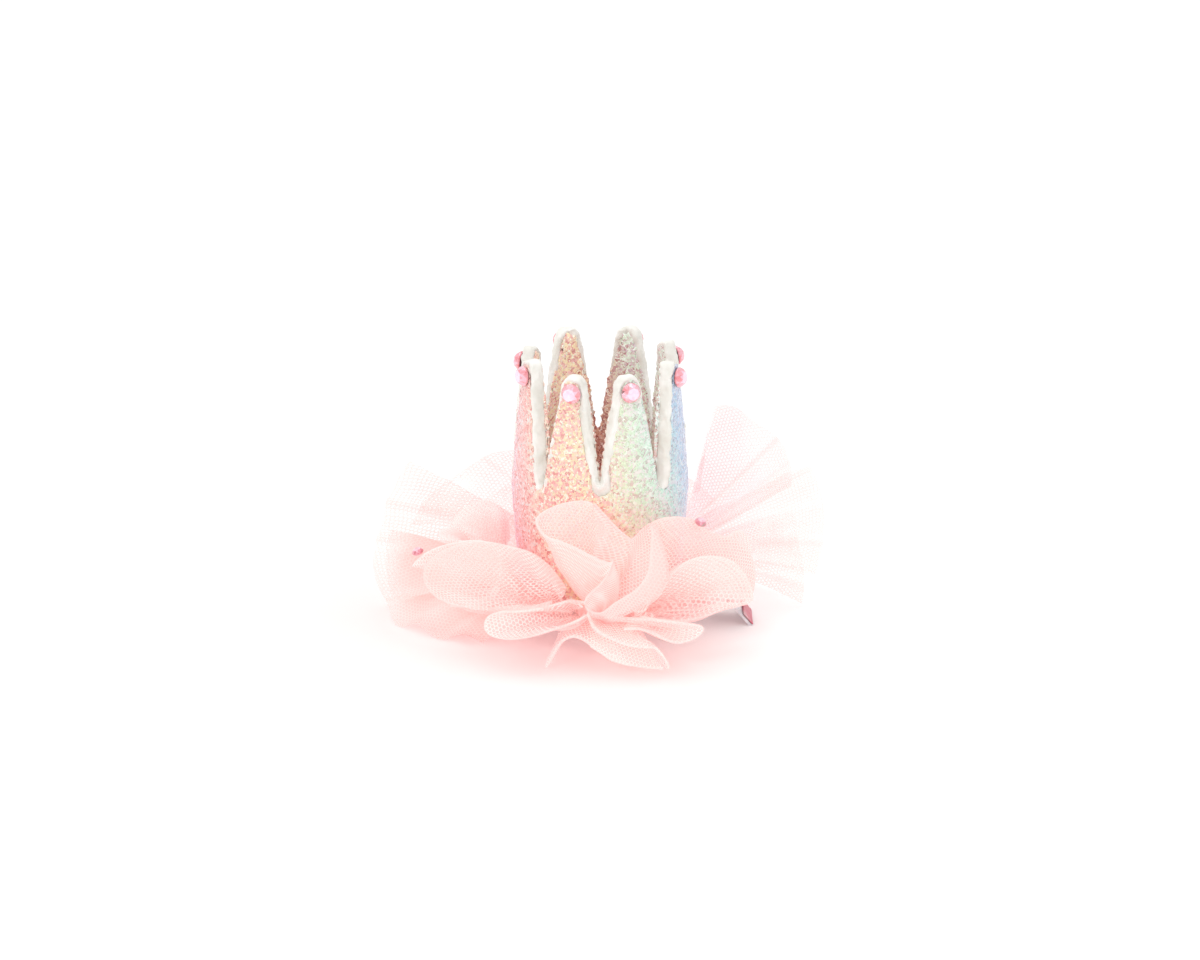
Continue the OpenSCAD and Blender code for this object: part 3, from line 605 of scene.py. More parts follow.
def cutStone(name, kind, place, facing, seed, material, node):
    # rings of corners: back, girdle, break, star and table; faces between them, each with its own facet tone, a
    # painted light level drawn at random within its row's range, highest on the table
    facing = unit(np.array(facing, float))
    across = unit(np.cross([0, 0, 1.0], facing))
    turns = np.arange(16) * np.pi / 8

    def ring(turns, radius, height):
        return np.stack([radius * np.cos(turns), radius * np.sin(turns), 0 * turns + height], -1)

    local = np.concatenate([
        ring(turns, 0.94, 0), ring(turns, 1, 0.16), ring(turns, 1, 0.26),
        ring(turns[::2] + np.pi / 8, 0.84, 0.68), ring(turns[::2], 0.62, 1), [[0, 0, 1.0]], [[0, 0, 0.0]]])
    local = local * [stone[kind + "Diameter"] / 2, stone[kind + "Diameter"] / 2, stone[kind + "Height"]]
    girdle, edge, star, table, middle, behind = 16, 32, 48, 56, 64, 65
    faces, tones = [], []
    random = np.random.default_rng(seed)

    def face(corners, low, high):
        faces.append(corners)
        tones.append(random.uniform(low, high))

    for k in range(16):
        n = (k + 1) % 16
        face([behind, n, k], 0.0, 0.01)
        face([k, n, girdle + n, girdle + k], 0.015, 0.16)
        face([girdle + k, girdle + n, edge + n, edge + k], 0.1, 0.4)
    for k in range(8):
        n = (k + 1) % 8
        a, b, c = (edge + (2 * k + step) % 16 for step in range(3))
        face([a, b, star + k], 0.1, 0.45)
        face([b, c, star + k], 0.0, 0.35)
        face([c, star + n, table + n, star + k], 0.1, 0.6)
        face([star + k, table + n, table + k], 0.35, 0.75)
        face([table + k, table + n, middle], 0.78, 1.0)
    world = np.array(place) + local @ np.stack([across, np.cross(facing, across), facing])
    mesh = bpy.data.meshes.new(name)
    mesh.from_pydata((world * 0.001).tolist(), [], faces)
    mesh.attributes.new("facet", "FLOAT", "FACE").data.foreach_set("value", np.array(tones, np.float32))
    uv = (local[np.concatenate(faces)][:, :2] + seed * 7) * 0.001
    mesh.uv_layers.new(name="UVMap").data.foreach_set("uv", uv.ravel().astype(np.float32))
    mesh.update()
    addPiece(name, mesh, material, node)


narrowing = (crown["footDiameter"] - crown["tipRingDiameter"]) / 2
leanIn = math.atan(narrowing / (crown["topHeight"] - crown["bellyHeight"]))
for i, (azimuth, tip, lean, *rises) in enumerate(crown["points"]):
    a = math.radians(azimuth)
    # the two at the back are glued a little higher and further apart, so their edges show beside the tips
    atBack = math.sin(a) > 0.8
    z = tip - stone["drop"] + (stone["backRise"] if atBack else 0)
    aside = lean - (math.copysign(stone["backShift"], math.cos(a)) if atBack else 0)
    radius = float(outerRadius(z)) + stone["proud"]
    place = [radius * math.cos(a) - aside * math.sin(a), radius * math.sin(a) + aside * math.cos(a), z]
    facing = [math.cos(a) * math.cos(leanIn), math.sin(a) * math.cos(leanIn), math.sin(leanIn)]
    cutStone(f"point_stone_{i + 1}", "tip", place, facing, i + 1, tipStoneMaterial, f"tip_stone_{i + 1}")
for side, place, facing, seed in (("left", [-45, -13.1, 23.5], [-0.3, -0.14, 0.94], 31),
                                  ("right", [24.4, -22.95, 35.05], [0.3, -0.3, 0.9], 32)):
    cutStone("net_stone_" + side, "net", place, facing, seed, netStoneMaterial, "tulle_stone_" + side)
print("stones cut")


# the net

gather = {
    "radius": 24.3, "low": 9.5, "high": 13.5, "thick": 2.05, "fold": 1.7, "depth": 0.32, "pointed": 0.8,
    "spacing": 0.3
}
netShape = {
    "spacing": 0.7, "foldRadius": 0.34, "pleatDepth": 0.85, "tuckWidth": 3.2, "tuckDepth": 0.25,
    "waveWidth": 15.0, "uneven": 0.22, "unevenWidth": 9.0, "aboveFloor": 0.15
}


def edgeLine(rows, t):
    # a smooth line through the rows (Catmull-Rom), for an array of shares of its length
    rows = np.array(rows, float)
    s = t * (len(rows) - 1)
    i = np.minimum(s.astype(int), len(rows) - 2)
    f = (s - i)[..., None]
    a, b, c, d = (rows[np.clip(i + k, 0, len(rows) - 1)] for k in (-1, 0, 1, 2))
    return b + 0.5 * f * (c - a + f * (2 * a - 5 * b + 4 * c - d + f * (3 * (b - c) + d - a)))


def evenShares(rows, count):
    # shares at which the edge line has points evenly spaced along its length
    t = np.linspace(0, 1, 400)
    along = np.concatenate([[0], np.cumsum(np.linalg.norm(np.diff(edgeLine(rows, t), axis=0), axis=1))])
    return np.interp(np.linspace(0, along[-1], count), along, t), along[-1]


def surfaceNormal(grid):
    return unit(np.cross(np.gradient(grid, axis=0), np.gradient(grid, axis=1)))


def mirrored(columns):  # a grid's columns, and after the last one the same ones back to the first
    return np.concatenate([columns, columns[:, ::-1][:, 1:]], 1)


def walked(grid, axis):  # how far each point of a grid is from its start, along the surface
    steps = np.cumsum(np.linalg.norm(np.diff(grid, axis=axis), axis=2), axis=axis)
    return np.insert(steps, 0, 0, axis=axis)


# A lobe's root is its first and last azimuth and height on the gathers, its edge is a line of points, and puff
# bows it out between them. Pleats is a number of waves, folds and slack are the height of random ones, and
# weave scales the holes. Veil closes the holes and fades by fade towards the edge, haze closes them outwards
# only, sheer thins a folded lobe's back layer, crisp is the weight of the edge, faintEdge thins the outermost
# part, and streaks is how dense a pleat looks from its side. Curl, if given, is how far the edge rolls in, with
# its bulge as a share of that.
plainLobe = {
    "folded": False, "pleats": 0, "folds": 0.5, "slack": 0.55, "weave": 0.92, "veil": 0.0, "fade": 0.5,
    "haze": 0.0, "sheer": 0.0, "crisp": 1.0, "faintEdge": 0.0, "streaks": 0.36
}


def netLobe(name, lobe, material, slot, node, seed):
    # from its gathers to its edge: straight, plus a puff half way out, plus pleats, gathers and slack; a
    # folded lobe goes over its edge and comes back a little behind itself, and a curled one first rolls it in
    random, s = np.random.default_rng(seed), netShape
    count = int(np.clip(evenShares(lobe["edge"], 9)[1] / s["spacing"], 40, 220))
    t, length = evenShares(lobe["edge"], count)
    edge, share = edgeLine(lobe["edge"], t), t[:, None]
    first, last = np.array(lobe["root"], float)
    angle, height = np.hsplit(first + (last - first) * share, 2)
    x, y = np.cos(np.radians(angle)), np.sin(np.radians(angle))
    root = np.concatenate([gather["radius"] * x, gather["radius"] * y, height], -1)
    depth = np.linalg.norm(edge - root, axis=1, keepdims=True)
    fold = s["foldRadius"] if lobe["folded"] else 0.0
    v = np.linspace(0, 1, 30)[None, :] * (1 - (0 if "curl" in lobe else fold) / depth)
    w = v[..., None]
    grid = root[:, None] * (1 - w) + edge[:, None] * w + np.sin(np.pi * w) * np.array(lobe["puff"], float)
    if "curl" in lobe:
        curl = edgeLine(lobe["curl"], t)
        bend = np.linspace(0, 1, 11)[1:]
        bulge = np.linalg.norm(curl, axis=1)[:, None, None] * np.array(lobe["bulge"], float)
        inwards = curl[:, None] * (1 - np.cos(bend * np.pi / 2))[:, None]
        grid = np.concatenate([grid, edge[:, None] + inwards + bulge * np.sin(bend * np.pi)[:, None]], 1)
        v = np.concatenate([v, np.broadcast_to(1 + bend * 0.2, (count, 10))], 1)
    if fold:
        ahead = unit(grid[:, -1] - grid[:, -3])
        bend = np.radians(np.linspace(0, 90, 6)[1:])
        grid = np.concatenate([grid, grid[:, -1:] + ahead[:, None] * fold * np.sin(bend)[:, None]], 1)
        v = np.concatenate([v, np.broadcast_to(v[:, -1:], (count, 5))], 1)
        half = np.concatenate([np.full(v.shape[1] - 5, fold), fold * np.cos(bend)])[None]
    way = unit(np.cross(np.gradient(edge, axis=0), edge - root))[:, None]
    inside = smooth(v, 0.0, 0.12) * (1 - smooth(v, 0.8, 1.0))
    bent = share + 0.05 * np.sin(2 * np.pi * (share * random.uniform(1.2, 2.2) + random.uniform()))
    dense = 0.64 * (1 - smooth(v, 0.0, 0.44)) + 0.2 * (1 - np.minimum(v, 1))
    if lobe["pleats"]:  # a pleat seen along its side is a denser streak
        phase = 2 * np.pi * lobe["pleats"] * bent
        pleats = np.sin(phase) + 0.5 * np.sin(1.63 * phase + random.uniform(0, 6))
        grid = grid + way * (s["pleatDepth"] * v * pleats * (0.6 + 0.4 * np.sin(5 * share + seed)))[..., None]
        dense = np.maximum(dense, lobe["streaks"] * smooth(pleats, 0.5, 1.4) * smooth(v, 0.1, 0.4))
    tucks = np.sin(2 * np.pi * (length / s["tuckWidth"] * bent + 0.35 * np.sin(9 * share + seed)))
    sway = 0.6 * v * random.uniform(-1, 1) + random.uniform()
    folds = np.sin(2 * np.pi * (length / s["waveWidth"] * bent + sway))
    slack = lobe["slack"] * ripple(grid, s["waveWidth"], seed + 1) + lobe["folds"] * folds
    tucked = s["tuckDepth"] * tucks * (1 - np.minimum(v, 1)) ** 2 * smooth(v, 0.0, 0.1)
    grid = grid + surfaceNormal(grid) * (tucked + slack * inside)[..., None]
    across, along = walked(grid, 1), walked(grid, 0)
    along = along - along[count // 2]
    veil = lobe["veil"] * (1 - lobe["fade"] * smooth(v, 0.4, 1.0))
    dense = np.maximum(dense, np.maximum(veil, lobe["haze"] * smooth(v, 0.35, 0.85)))
    faint = lobe["faintEdge"] * smooth(v, 0.75, 1.0)
    if "cut" in lobe:  # cut off along a straight line, given by two points of it seen from the front
        (x0, z0), (x1, z1) = lobe["cut"]
        past = (x1 - x0) * (grid[..., 2] - z0) - (z1 - z0) * (grid[..., 0] - x0)
        past = past / math.hypot(x1 - x0, z1 - z0)
        faint = np.maximum(faint, smooth(past, -0.2, 0.4) * smooth(grid[..., 2], 22, 27))
    if lobe["folded"]:
        # the layer on the camera's side is the clear one, and the other lies behind it
        normal = surfaceNormal(grid)
        normal = normal * (1 if (normal @ [0, -0.94, 0.34]).mean() > 0 else -1)
        apart = half * (1 + 0.9 * inside)
        gap = apart + np.clip(s["uneven"] * ripple(grid, s["unevenWidth"], seed + 5) * inside, -0.2, 1)
        backLayer = (grid - normal * gap[..., None])[:, ::-1][:, 1:]
        points = np.concatenate([grid + normal * apart[..., None], backLayer], 1)
        behind = (1 - lobe["sheer"]) * (1 - 0.4 * smooth(v[:, ::-1][:, 1:], 0.35, 0.85))
        under = np.concatenate([np.zeros(v.shape), behind], 1)
        outermost = across[:, -1:]
        across = np.concatenate([across, 2 * outermost - across[:, ::-1][:, 1:]], 1)
        along = np.concatenate([along, along[:, ::-1][:, 1:] + 0.35], 1)
        edgeMask = 1 - smooth(np.abs(across - outermost), 0.2, 0.75)
        dense, faint = mirrored(dense), mirrored(faint)
    else:
        points, under = grid, np.zeros(v.shape)
        edgeMask = 0.6 * (1 - smooth(across[:, -1:] - across, 0.1, 0.5))
    points[..., 2] = np.maximum(points[..., 2], s["aboveFloor"])
    turn = random.uniform(-0.6, 0.6)
    x, y = math.cos(turn), math.sin(turn)
    uv = np.stack([along * x - across * y, along * y + across * x], -1) / lobe["weave"]
    masks = {"edge": edgeMask * lobe["crisp"], "dense": dense, "under": under, "faint": faint}
    mesh = gridMesh(name, points, uv=uv, masks=masks)
    piece = addPiece(name, mesh, material, node)
    cloth = area(mesh)
    wide, tall = length * 0.001, float(across[:, -1].mean()) * 0.001
    # a lobe that closes on itself nearly all round counts as a shell, and half its area is the cloth
    ends, sides = walked(points, 1)[[0, -1], -1], walked(points, 0)[-1, [0, -1]]
    if (ends.sum() + sides.sum()) * 0.001 < 0.25 * 2 * (wide + tall):
        cloth = cloth / 2
    "gathers_" + node.split("_")[1]


frontLobes = {  # the folded net in front, gathered like a rose
    "net_left_puff": {"weave": 1.1, "haze": 0.55, "root": ((252, 13), (246, 10.5)), "puff": (-1, -4, 1.5),
        "edge": [(-8.3, -27.5, 19.9), (-10.7, -28.5, 24), (-13.3, -29, 27.3), (-16.9, -29, 29.9),
        (-21, -28.5, 31), (-24.6, -27.5, 31.5), (-29, -26, 31.6), (-33, -24.5, 30.4), (-37, -22.5, 28.4),
        (-40.9, -20, 25), (-43.3, -17.5, 20.9), (-43.4, -17, 17.2), (-41.8, -19.5, 15.6),
        (-39.2, -22.5, 14.7), (-34.9, -25.5, 14.3), (-29.2, -28, 14.4), (-23.1, -29.5, 14.9),
        (-17, -30.5, 16.1), (-11.6, -31, 17.9)]},
    "net_leaf": {"root": ((254, 12), (262, 10.5)), "puff": (0, -2, 1), "edge": [(-3.4, -30.5, 17.4),
        (-7.3, -31, 17.9), (-10.9, -31.5, 17.3), (-14.5, -32, 16.5), (-19.4, -32, 15.7),
        (-24.2, -32, 15.5), (-27.1, -32.5, 14.6), (-28.1, -33, 12.2), (-26.9, -34, 10.3),
        (-23.5, -34.5, 9.4), (-19.3, -35, 9.8), (-15.7, -35, 10.6), (-11.6, -35, 12), (-7.2, -34.5, 13.4),
        (-2.9, -33.5, 15.3)]},
    "net_crown_loop": {"sheer": 0.5, "veil": 0.45, "fade": 0.0, "root": ((272, 12), (266, 12.5)),
        "puff": (-1, -1, 0), "edge": [(2.9, -35, 29.4), (1, -35, 29.8), (-2.4, -35, 31.5),
        (-6, -34.5, 33.3), (-9.6, -34, 34.7), (-12.4, -33, 35.2), (-14.4, -31.5, 36.5), (-15.4, -30, 38.5),
        (-14.4, -28.5, 39.5), (-12.5, -27.5, 40.4), (-9.6, -26.5, 41.3), (-6, -25.7, 41.8),
        (-2.9, -25.3, 41.6), (-1, -25.5, 40.5), (1, -26.4, 38.4), (3.2, -27.8, 36.2)]},
    "net_petal": {"veil": 0.5, "fade": 0.0, "root": ((264, 13), (274, 10.5)), "puff": (1, -2, 0),
        "folds": 0.2, "bulge": (0.25, -0.25, 0.0), "edge": [(-1.4, -25.6, 41), (1, -27, 38.7),
        (3.4, -28.5, 36.4), (5.8, -30, 34.7), (7.7, -30.5, 33.8), (9.8, -30, 35.7), (12, -29.5, 37.3),
        (13.4, -30.2, 36.8), (14.1, -31.7, 34.8), (15.1, -33.7, 31.7), (15.8, -35.2, 28.2),
        (15.3, -36.2, 25.5), (13.9, -37, 23.2), (11.5, -37.5, 20.9), (7.7, -38, 18.7), (4.6, -38, 17),
        (2.2, -37.8, 16.5), (0.2, -37.5, 16.6), (-1.6, -37, 16.9), (-2.8, -36.5, 17.8),
        (-3.6, -36.3, 19.2), (-3.1, -36, 20.8), (-1.5, -35.6, 22.4), (0.5, -35, 24.3), (2.2, -34, 26.6),
        (3.1, -33, 29.3)],
        "curl": [(0, 0, -0.1), (0, 0, -0.1), (0, 0, -0.1), (0, 0, -0.1), (0, 0, -0.2), (-0.2, 0, -0.3),
        (-0.4, -0.2, -0.4), (-0.9, -0.3, -0.3), (-1.5, -0.4, 0), (-2.8, -0.4, 0), (-3.8, -0.2, 0.2),
        (-4.3, 0, 0.4), (-4.4, 0.2, 0.8), (-4.2, 0.4, 1.3), (-3.6, 0.5, 1.6), (-2.6, 0.5, 1.5),
        (-1.4, 0.4, 1.1), (-0.6, 0.3, 0.7), (0, 0.2, 0.4), (0, 0.1, 0.2), (0, 0, 0.1), (0, 0, 0.1),
        (0, 0, 0.1), (0, 0, 0.1), (0, 0, 0.1), (0, 0, 0.1)]},
    "net_right_puff_back": {"haze": 0.45, "root": ((282, 13), (306, 11)), "puff": (1, -2, 2),
        "edge": [(7.2, -27.5, 32.1), (9.9, -27.5, 34.7), (12.3, -27, 36.6), (15.4, -26, 37.5),
        (19.3, -24.5, 37.2), (22.6, -22.5, 35.7), (25.1, -20.5, 33.1), (28.1, -18.5, 30.7),
        (32, -15.5, 28.3), (35.9, -12.5, 25), (37.8, -10.5, 21), (38.7, -9.5, 16.8), (38.5, -9.5, 12.5),
        (37.7, -10.5, 9.7)]},
    "net_right_puff_front": {"weave": 1.25, "veil": 0.2, "root": ((284, 12.5), (300, 10.5)),
        "puff": (1, -3, 1), "edge": [(8.2, -33, 16.1), (10.9, -33, 18.2), (13.3, -33, 20.6),
        (15.4, -32, 23.3), (17.8, -31, 25.7), (20.7, -30, 27.7), (24.2, -28.5, 28.4), (28.1, -26, 27.6),
        (32.2, -23, 25.2), (35.3, -20, 21.1), (37.3, -17, 16.1), (37.9, -16, 12), (35.8, -18, 11.7),
        (32, -21, 11.9), (28.2, -24, 11.8), (24.4, -27, 11.8), (19.4, -30, 12.2), (14.5, -32, 13.4),
        (9.7, -33.5, 15)]},
    "net_narrow_fold": {"weave": 1.1, "sheer": 0.3, "root": ((278, 11), (290, 10.5)), "puff": (0, -1, 0),
        "folds": 0.2, "slack": 0.3, "edge": [(1.4, -35.5, 15.6), (8.4, -36.5, 15.6), (14, -36, 15),
        (19.3, -34.5, 13.6), (23, -33, 12.5), (25.2, -32, 11.3), (24.5, -33, 10.1), (22.3, -34, 9),
        (19.3, -35, 8.6), (16.4, -35.5, 9.5), (13.3, -36, 11.4), (9.6, -36.5, 12.9), (5.8, -37, 13.1)]},
    "net_floor_fold_right": {"sheer": 0.5, "root": ((264, 11), (284, 10.5)), "puff": (0, -1, 0),
        "folds": 0.2, "slack": 0.3, "edge": [(-2.9, -34.5, 16.5), (-1.9, -36, 14), (0, -37, 12.3),
        (2.9, -37.5, 10.7), (5.8, -38, 9.6), (9.6, -38, 8.8), (13, -37.5, 8.4), (14.7, -37, 6.8),
        (16.2, -36.5, 4.2), (16.7, -36, 2.2)]},
    "net_apron": {"sheer": 0.6, "root": ((262, 10.5), (290, 10)), "puff": (0, 0, 0), "folds": 0.3,
        "slack": 0.3, "edge": [(-2.4, -35, 7.8), (1, -36, 5.9), (4.4, -36.8, 4.4), (8.2, -37.3, 3.5),
        (12.1, -37.5, 3), (15.2, -37, 2.6)]},
    "net_floor_fold_left": {"sheer": 0.3, "root": ((250, 10.5), (268, 10.5)), "puff": (0, -1, 0),
        "folds": 0.2, "slack": 0.3, "edge": [(-13.2, -31, 0.2), (-11.9, -31.7, 3.2), (-10.5, -32.3, 6.1),
        (-9, -33, 8.3), (-6.5, -33.8, 9.7), (-3.6, -34.5, 8.9), (0, -35.5, 6.4), (3.1, -36.5, 4.5),
        (7.3, -37, 3.4)]},
    "net_right_side": {"root": ((308, 12.5), (343, 11.5)), "puff": (1, 0, 2),
        "edge": [(29, -17, 27), (34, -10, 28), (37, -4, 24), (38, 0, 18), (37, 3.5, 12.5)]}
}
# the net at the sides is single and has cut edges, but for the folds that say so
leftLobes = {
    "fan_left": {"weave": 1.05, "root": ((118, 13), (158, 11)), "puff": (0, 0, 1), "pleats": 4,
        "edge": [(-48, 8, 40), (-51.5, 8, 35), (-54, 8, 29), (-56, 8, 22), (-58, 8, 14), (-57.5, 9, 7),
        (-55, 10, 0.5)]},
    "fan_left_back": {"weave": 1.05, "root": ((98, 13), (116, 12)), "puff": (0, 1, 1), "pleats": 4,
        "edge": [(-20, 28, 36), (-28, 27, 35.5), (-36, 25, 31), (-44, 21, 26), (-49, 18, 19)]},
    "fold_left_by_crown": {"veil": 0.95, "fade": 0.6, "crisp": 0.4, "folded": True,
        "root": ((168, 13), (229, 12.5)), "puff": (-2, 0, 3), "edge": [(-40, 7, 22), (-40.5, 0, 23),
        (-38, -7, 24.5), (-33, -12, 26), (-28, -15, 27)]},
    "fold_left_beside": {"veil": 0.6, "fade": 0.6, "crisp": 0.5, "folded": True,
        "root": ((196, 13), (162, 12.5)), "puff": (-1, 0, 1), "edge": [(-39.4, 9, 15.7),
        (-38.5, 9.5, 20.8), (-36.7, 10, 24.7), (-33.6, 10, 27.4), (-30, 10, 28.7), (-26.7, 9.5, 28.1),
        (-24.2, 9, 25.9), (-23.2, 9, 22.8), (-23, 9, 18.4)]},
    "fold_left_inner": {"folded": True, "root": ((217, 13), (226, 11)), "puff": (-1, -1, 2),
        "edge": [(-46.7, -12, 19.5), (-44.2, -14, 22.9), (-40.4, -16, 25.8), (-35.3, -18.5, 28.2),
        (-29.8, -21, 29.7), (-26.1, -22.5, 28.9), (-24.1, -23.5, 25.9), (-24.6, -23.4, 21.4),
        (-27, -22, 16.4), (-31, -22, 12.9), (-37, -20, 12)]},
    "fold_left_side": {"veil": 1.1, "fade": 0.35, "crisp": 0.15, "faintEdge": 0.7, "folded": True,
        "root": ((162, 12.5), (194, 11)), "puff": (-1, 0, 1), "edge": [(-53, 4.5, 22.8), (-54.2, 3.5, 18),
        (-54.2, 3, 12), (-53, 1, 7), (-50, -2, 5.5)]},
    "fold_left_floor": {"veil": 1.1, "fade": 0.3, "crisp": 0.15, "faintEdge": 0.6, "folded": True,
        "root": ((196, 11), (228, 10.5)), "puff": (-1, 0, 1), "edge": [(-54.6, 3.5, 4.5), (-51.5, -4, 0),
        (-46, -9, 2.5), (-40, -13, 0), (-34, -14.5, 2), (-29, -15, 0)]},
    "fan_back_left": {"root": ((91, 12.5), (130, 12.5)), "puff": (0, 1, 1), "pleats": 3,
        "edge": [(4, 31, 29), (-5, 33, 30), (-16, 34, 27), (-24, 32, 25), (-31, 29, 21)]},
    "floor_folds_back_left": {"root": ((90.5, 10.5), (152, 10.5)), "puff": (0, 1, 2),
        "edge": [(0.6, 37.2, 4), (-6, 38, 0), (-15, 37.2, 6), (-22, 36.5, 0), (-29, 33, 6), (-35, 30, 0),
        (-41, 25, 5), (-46, 20, 0), (-49, 15, 3)]}
}
rightLobes = {
    "fan_right_tall": {"veil": 0.2, "fade": 0.3, "streaks": 0.6, "cut": ((24.1, 25.8), (29.3, 49.2)),
        "root": ((82, 13), (42, 11.5)), "puff": (1, 1, 0), "pleats": 7, "edge": [(25.9, 22.5, 27),
        (27.2, 22.5, 37), (28.1, 22.5, 45), (29.1, 22.5, 49.4), (29.8, 22.5, 50), (35, 21.5, 49.6),
        (39.7, 20, 46.2), (45.5, 17, 43), (48.5, 15, 37), (49, 14, 31)]},
    "fan_right_low": {"root": ((40, 12.5), (21, 11)), "puff": (1, 0.5, 1), "pleats": 4,
        "edge": [(49.5, 13, 25), (50.5, 11, 19), (52, 9.5, 12), (52.5, 9, 6), (52, 9, 0.5)]},
    "fold_right_over_tail": {"veil": 0.6, "crisp": 0.3, "faintEdge": 0.4, "folded": True,
        "root": ((-6, 13), (17, 12.5)), "puff": (1, 0, 2), "edge": [(38.5, 2, 17), (41, 4, 20.5),
        (43.5, 7, 22.5), (45, 10, 23.5)]},
    "fan_right_back": {"root": ((56, 12.5), (40, 10.5)), "puff": (1, 1, 1), "pleats": 3,
        "edge": [(54, 22, 34), (56.8, 21, 28), (58.1, 20, 20), (57.6, 19, 12), (56, 18, 5)]},
    "fan_back_right": {"root": ((89, 12.5), (50, 12.5)), "puff": (0, 1, 1), "pleats": 3,
        "edge": [(-4, 36, 23), (5, 36, 26), (16, 34, 28), (24, 32, 26), (31, 28, 22)]},
    "floor_folds_back_right": {"root": ((89.5, 10.5), (34, 10.5)), "puff": (0, 1, 2),
        "edge": [(-0.6, 37, 5), (7, 38, 0), (14, 37.2, 6), (21, 36, 0), (28, 33.5, 6), (35, 29, 0),
        (42, 23.5, 5), (48, 17, 4)]}
}


def gatherBand(name, start, stop, material, node, seed):
    # a bunched tube round the crown's foot; its section is a rounded bar and its ends are drawn to a point
    g = gather
    span = math.radians(stop - start) * g["radius"]
    s = np.linspace(0, span, int(span / g["spacing"]))[:, None]
    angle = np.radians(start) + s / g["radius"]
    turn = np.linspace(0, 2 * np.pi, 20, endpoint=False)[None, :]
    ends = roundEnds(s, span, g["pointed"]) * 0.98 + 0.02
    bunch = np.sin(2 * np.pi * s / g["fold"] + 1.3 * np.sin(s / 2.3 + seed)) * g["depth"]
    out = (g["thick"] / 2 + bunch * (np.cos(turn) > -0.5)) * ends * squared(np.cos(turn), 0.6)
    up = (g["high"] - g["low"]) / 2 * ends * squared(np.sin(turn), 0.6)
    r, z = g["radius"] + out, (g["high"] + g["low"]) / 2 + up + 0.15 * bunch * np.sin(turn)
    points = np.stack([r * np.cos(angle), r * np.sin(angle), z], -1)
    uv = np.stack(np.broadcast_arrays(s * 2.2, turn * 1.9), -1)
    mesh = gridMesh(name, points, uv=uv, loopAcross=True, masks={"edge": 0.0, "dense": 1.0, "under": 0.0})
    piece = addPiece(name, mesh, material, node)


bands = {
    "front": (238, 346, foldedNet, "net_folded"), "left": (90.4, 232.8, leftNet, "net_left"),
    "right": (-8.8, 89.6, rightNet, "net_right")
}
for side, (start, stop, material, slot) in bands.items():
    gatherBand("gathers_" + side, start, stop, material, "tulle_" + side, len(side))
for side, lobes in (("front", frontLobes), ("left", leftLobes), ("right", rightLobes)):
    for number, (name, lobe) in enumerate(lobes.items()):
        lobe = {**plainLobe, "folded": side == "front", **lobe}
        netLobe(name, lobe, *bands[side][2:], "tulle_" + side, 40 + 10 * number + len(side))
print("net gathered")


# felt, ribbon and clip

feltSize = {"radius": 22.6, "low": 9.05, "high": 10.55, "round": 0.35}


def makeFelt():
    # a disc turned about the crown's axis, with a soft edge and a slightly uneven outline
    s = feltSize
    turn = np.radians(np.linspace(-90, 90, 7))
    inner, half = [0.01, s["radius"] * 0.6], (s["high"] - s["low"]) / 2
    r = np.concatenate([inner, s["radius"] - s["round"] + s["round"] * np.cos(turn), inner[::-1]])
    z = np.concatenate([[s["low"]] * 2, s["low"] + half + half * np.sin(turn), [s["high"]] * 2])
    angle = np.linspace(0, 2 * np.pi, 160, endpoint=False)[:, None]
    points = np.stack([r * np.cos(angle), r * np.sin(angle), z + 0 * angle], -1)
    points[..., :2] *= 1 + 0.004 * ripple(points, 5.0, 77)[..., None]
    mesh = gridMesh("felt_disc", points, loopAround=True, loopAcross=True)
    piece = addPiece("felt_disc", mesh, felt, "felt_base")


makeFelt()

ribbon = {
    "footX": 38.667, "middleY": 1.02, "angle": 50.0, "width": 9.9, "length": 3.7, "foot": -0.2, "lift": 0.06,
    "thick": 0.42, "flat": 0.0108
}


def makeRibbon():
    # a strip glued across the tab's foot: a rounded bar in section, carried down the slope
    s = ribbon
    slope = math.radians(s["angle"])
    down = np.array([math.cos(slope), 0, -math.sin(slope)])
    out = np.array([math.sin(slope), 0, math.cos(slope)])
    t = np.linspace(0, 1, 60)[:, None]
    turn = np.linspace(0, 2 * np.pi, 40, endpoint=False)[None, :]
    across = s["width"] / 2 * squared(np.cos(turn), 0.25)
    ends = roundEnds(t * s["length"], s["length"], 0.25) * 0.95 + 0.05
    proud = s["lift"] + s["thick"] / 2 * (1 + ends * squared(np.sin(turn), 0.6))
    proud = proud + 0.04 * np.sin(t * 19 + across * 0.6) * (np.sin(turn) > 0)
    points = (np.array([s["footX"], s["middleY"], 0.0]) + (s["foot"] + (t - 1) * s["length"])[..., None] * down
              + proud[..., None] * out + across[..., None] * np.array([0, 1.0, 0]))
    uv = np.stack(np.broadcast_arrays(across, t * s["length"]), -1)
    mesh = gridMesh("ribbon_on_tab", points, uv=uv, loopAcross=True)
    piece = addPiece("ribbon_on_tab", mesh, satin, "tab_ribbon", jawBody)


makeRibbon()
for metal, names in ((steel, ("clip_plate", "clip_jaw", "hinge_pin")), (wire, ("hinge_spring", "spring_leg"))):
    for name in names:
        nodes[name].data.materials.clear()
        nodes[name].data.materials.append(metal)
print("clip finished")


# floor, light and camera

studio = {
    "target": 0.0378, "elevation": 20.0, "distance": 0.7, "lens": 84.0, "world": 0.76, "sun": 1.05,
    "floor": (255, 255, 254), "glow": (244, 231, 229), "through": (255, 208, 211), "underNet": 0.21
}


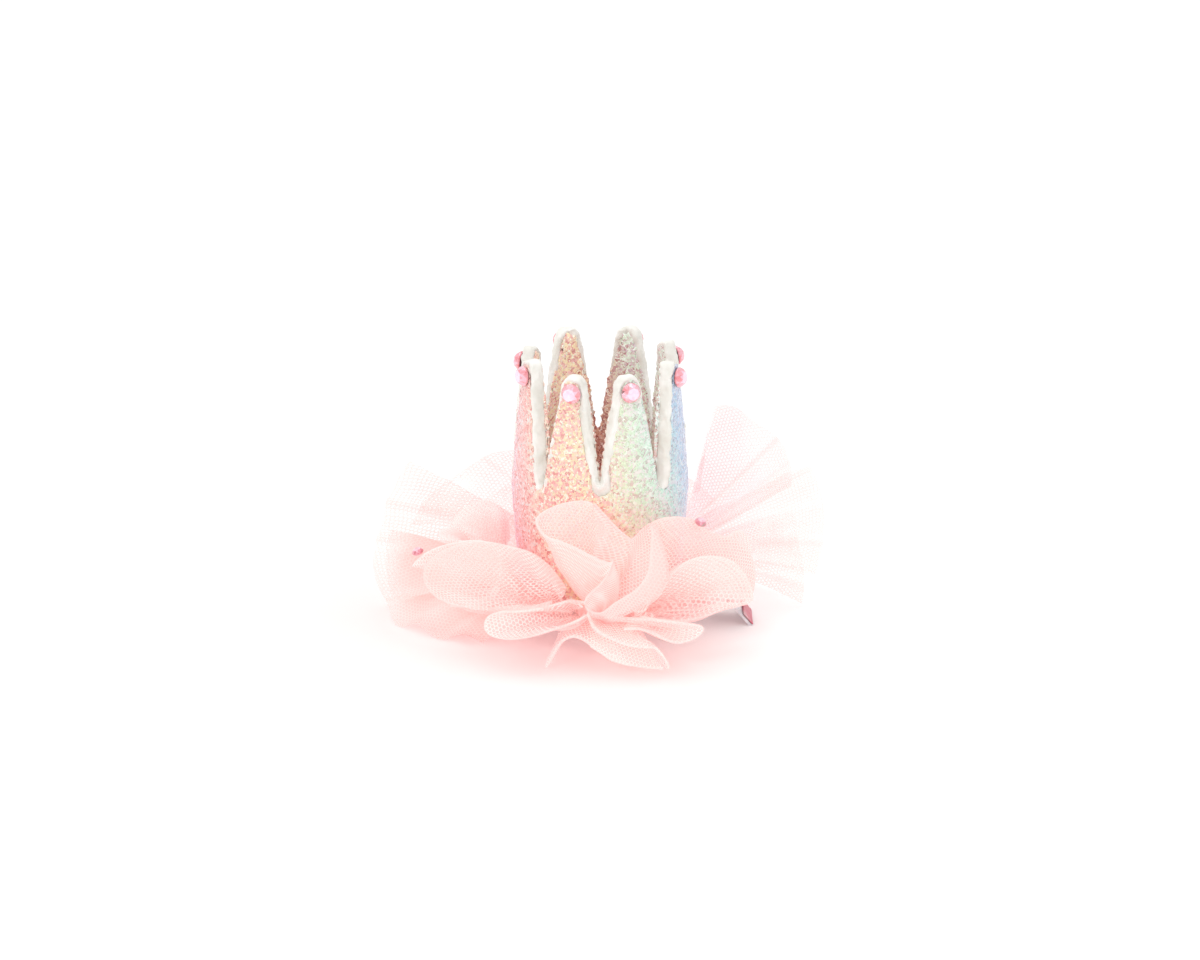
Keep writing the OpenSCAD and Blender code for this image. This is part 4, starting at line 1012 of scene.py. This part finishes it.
def makeFloor():
    mesh = bpy.data.meshes.new("floor")
    w = 3.0
    mesh.from_pydata([(-w, -w, 0), (w, -w, 0), (w, w, 0), (-w, w, 0)], [], [(0, 1, 2, 3)])
    material, g, shader = newMaterial("pale floor")

    def distance(offset):  # from a spot that far left of the crown's axis, with front and back counted more
        away = g.vector("ADD", g.place(), (offset, 0, 0))
        return g.vector("LENGTH", g.vector("MULTIPLY", away, (1.0, 1.25, 1.0)))

    # painted shadow, tinted pink: the floor's colour is darker near the crown and plain further out
    colour = g.mix(g.range(distance(0.03), 0.026, 0.066), linear(studio["glow"]), linear(studio["floor"]))
    # pink light that falls through the net
    through = g.mix(g.range(distance(0.013), 0.025, 0.06), linear(studio["through"]), (0, 0, 0, 1))
    g.set(shader, {"Base Color": colour, "Roughness": 0.6, "Specular IOR Level": 0.2, "Emission Color": through,
                   "Emission Strength": studio["underNet"]})
    mesh.materials.append(material)
    addObject("floor", mesh)


def makeLight(name, place, size, power):  # a soft disc turned to the crown
    data = bpy.data.lights.new(name, "AREA")
    data.shape, data.size, data.energy = "DISK", size, power
    light = addObject(name, data)
    light.location = place
    x, y, z = np.array([0, 0, 0.04]) - place
    light.rotation_euler = (math.atan2(math.hypot(x, y), -z), 0, math.atan2(-x, y))


makeFloor()
world = bpy.data.worlds.new("studio")
bpy.context.scene.world = world
world.use_nodes = True
sky = Graph(world.node_tree)
# the world lights the piece softly, and looks as white as the floor to the camera
straight = sky.add("ShaderNodeLightPath").outputs["Is Camera Ray"]
strength = sky.range(straight, 0.0, 1.0, studio["world"], 1.0)
sky.set(world.node_tree.nodes["Background"], {0: (1, 1, 1, 1), 1: strength})
sun = addObject("soft_sky", bpy.data.lights.new("soft_sky", "SUN"))
sun.data.energy, sun.data.angle = studio["sun"], math.radians(55)
sun.rotation_euler = (math.radians(-14), math.radians(-12), 0)
makeLight("front_left", (-0.35, -0.6, 0.5), 0.16, 0.9)
makeLight("right_fill", (0.5, -0.4, 0.35), 0.12, 0.3)

camera = addObject("camera", bpy.data.cameras.new("camera"))
camera.data.lens, camera.data.sensor_width = studio["lens"], 36.0
camera.data.clip_start, camera.data.clip_end = 0.01, 20.0
tilt, distance = math.radians(studio["elevation"]), studio["distance"]
camera.location = (0, -distance * math.cos(tilt), studio["target"] + distance * math.sin(tilt))
camera.rotation_euler = (math.pi / 2 - tilt, 0, 0)
bpy.context.scene.camera = camera
bpy.context.scene.view_settings.view_transform = "Standard"
bpy.context.scene.cycles.transparent_max_bounces = 40
print("studio lit")
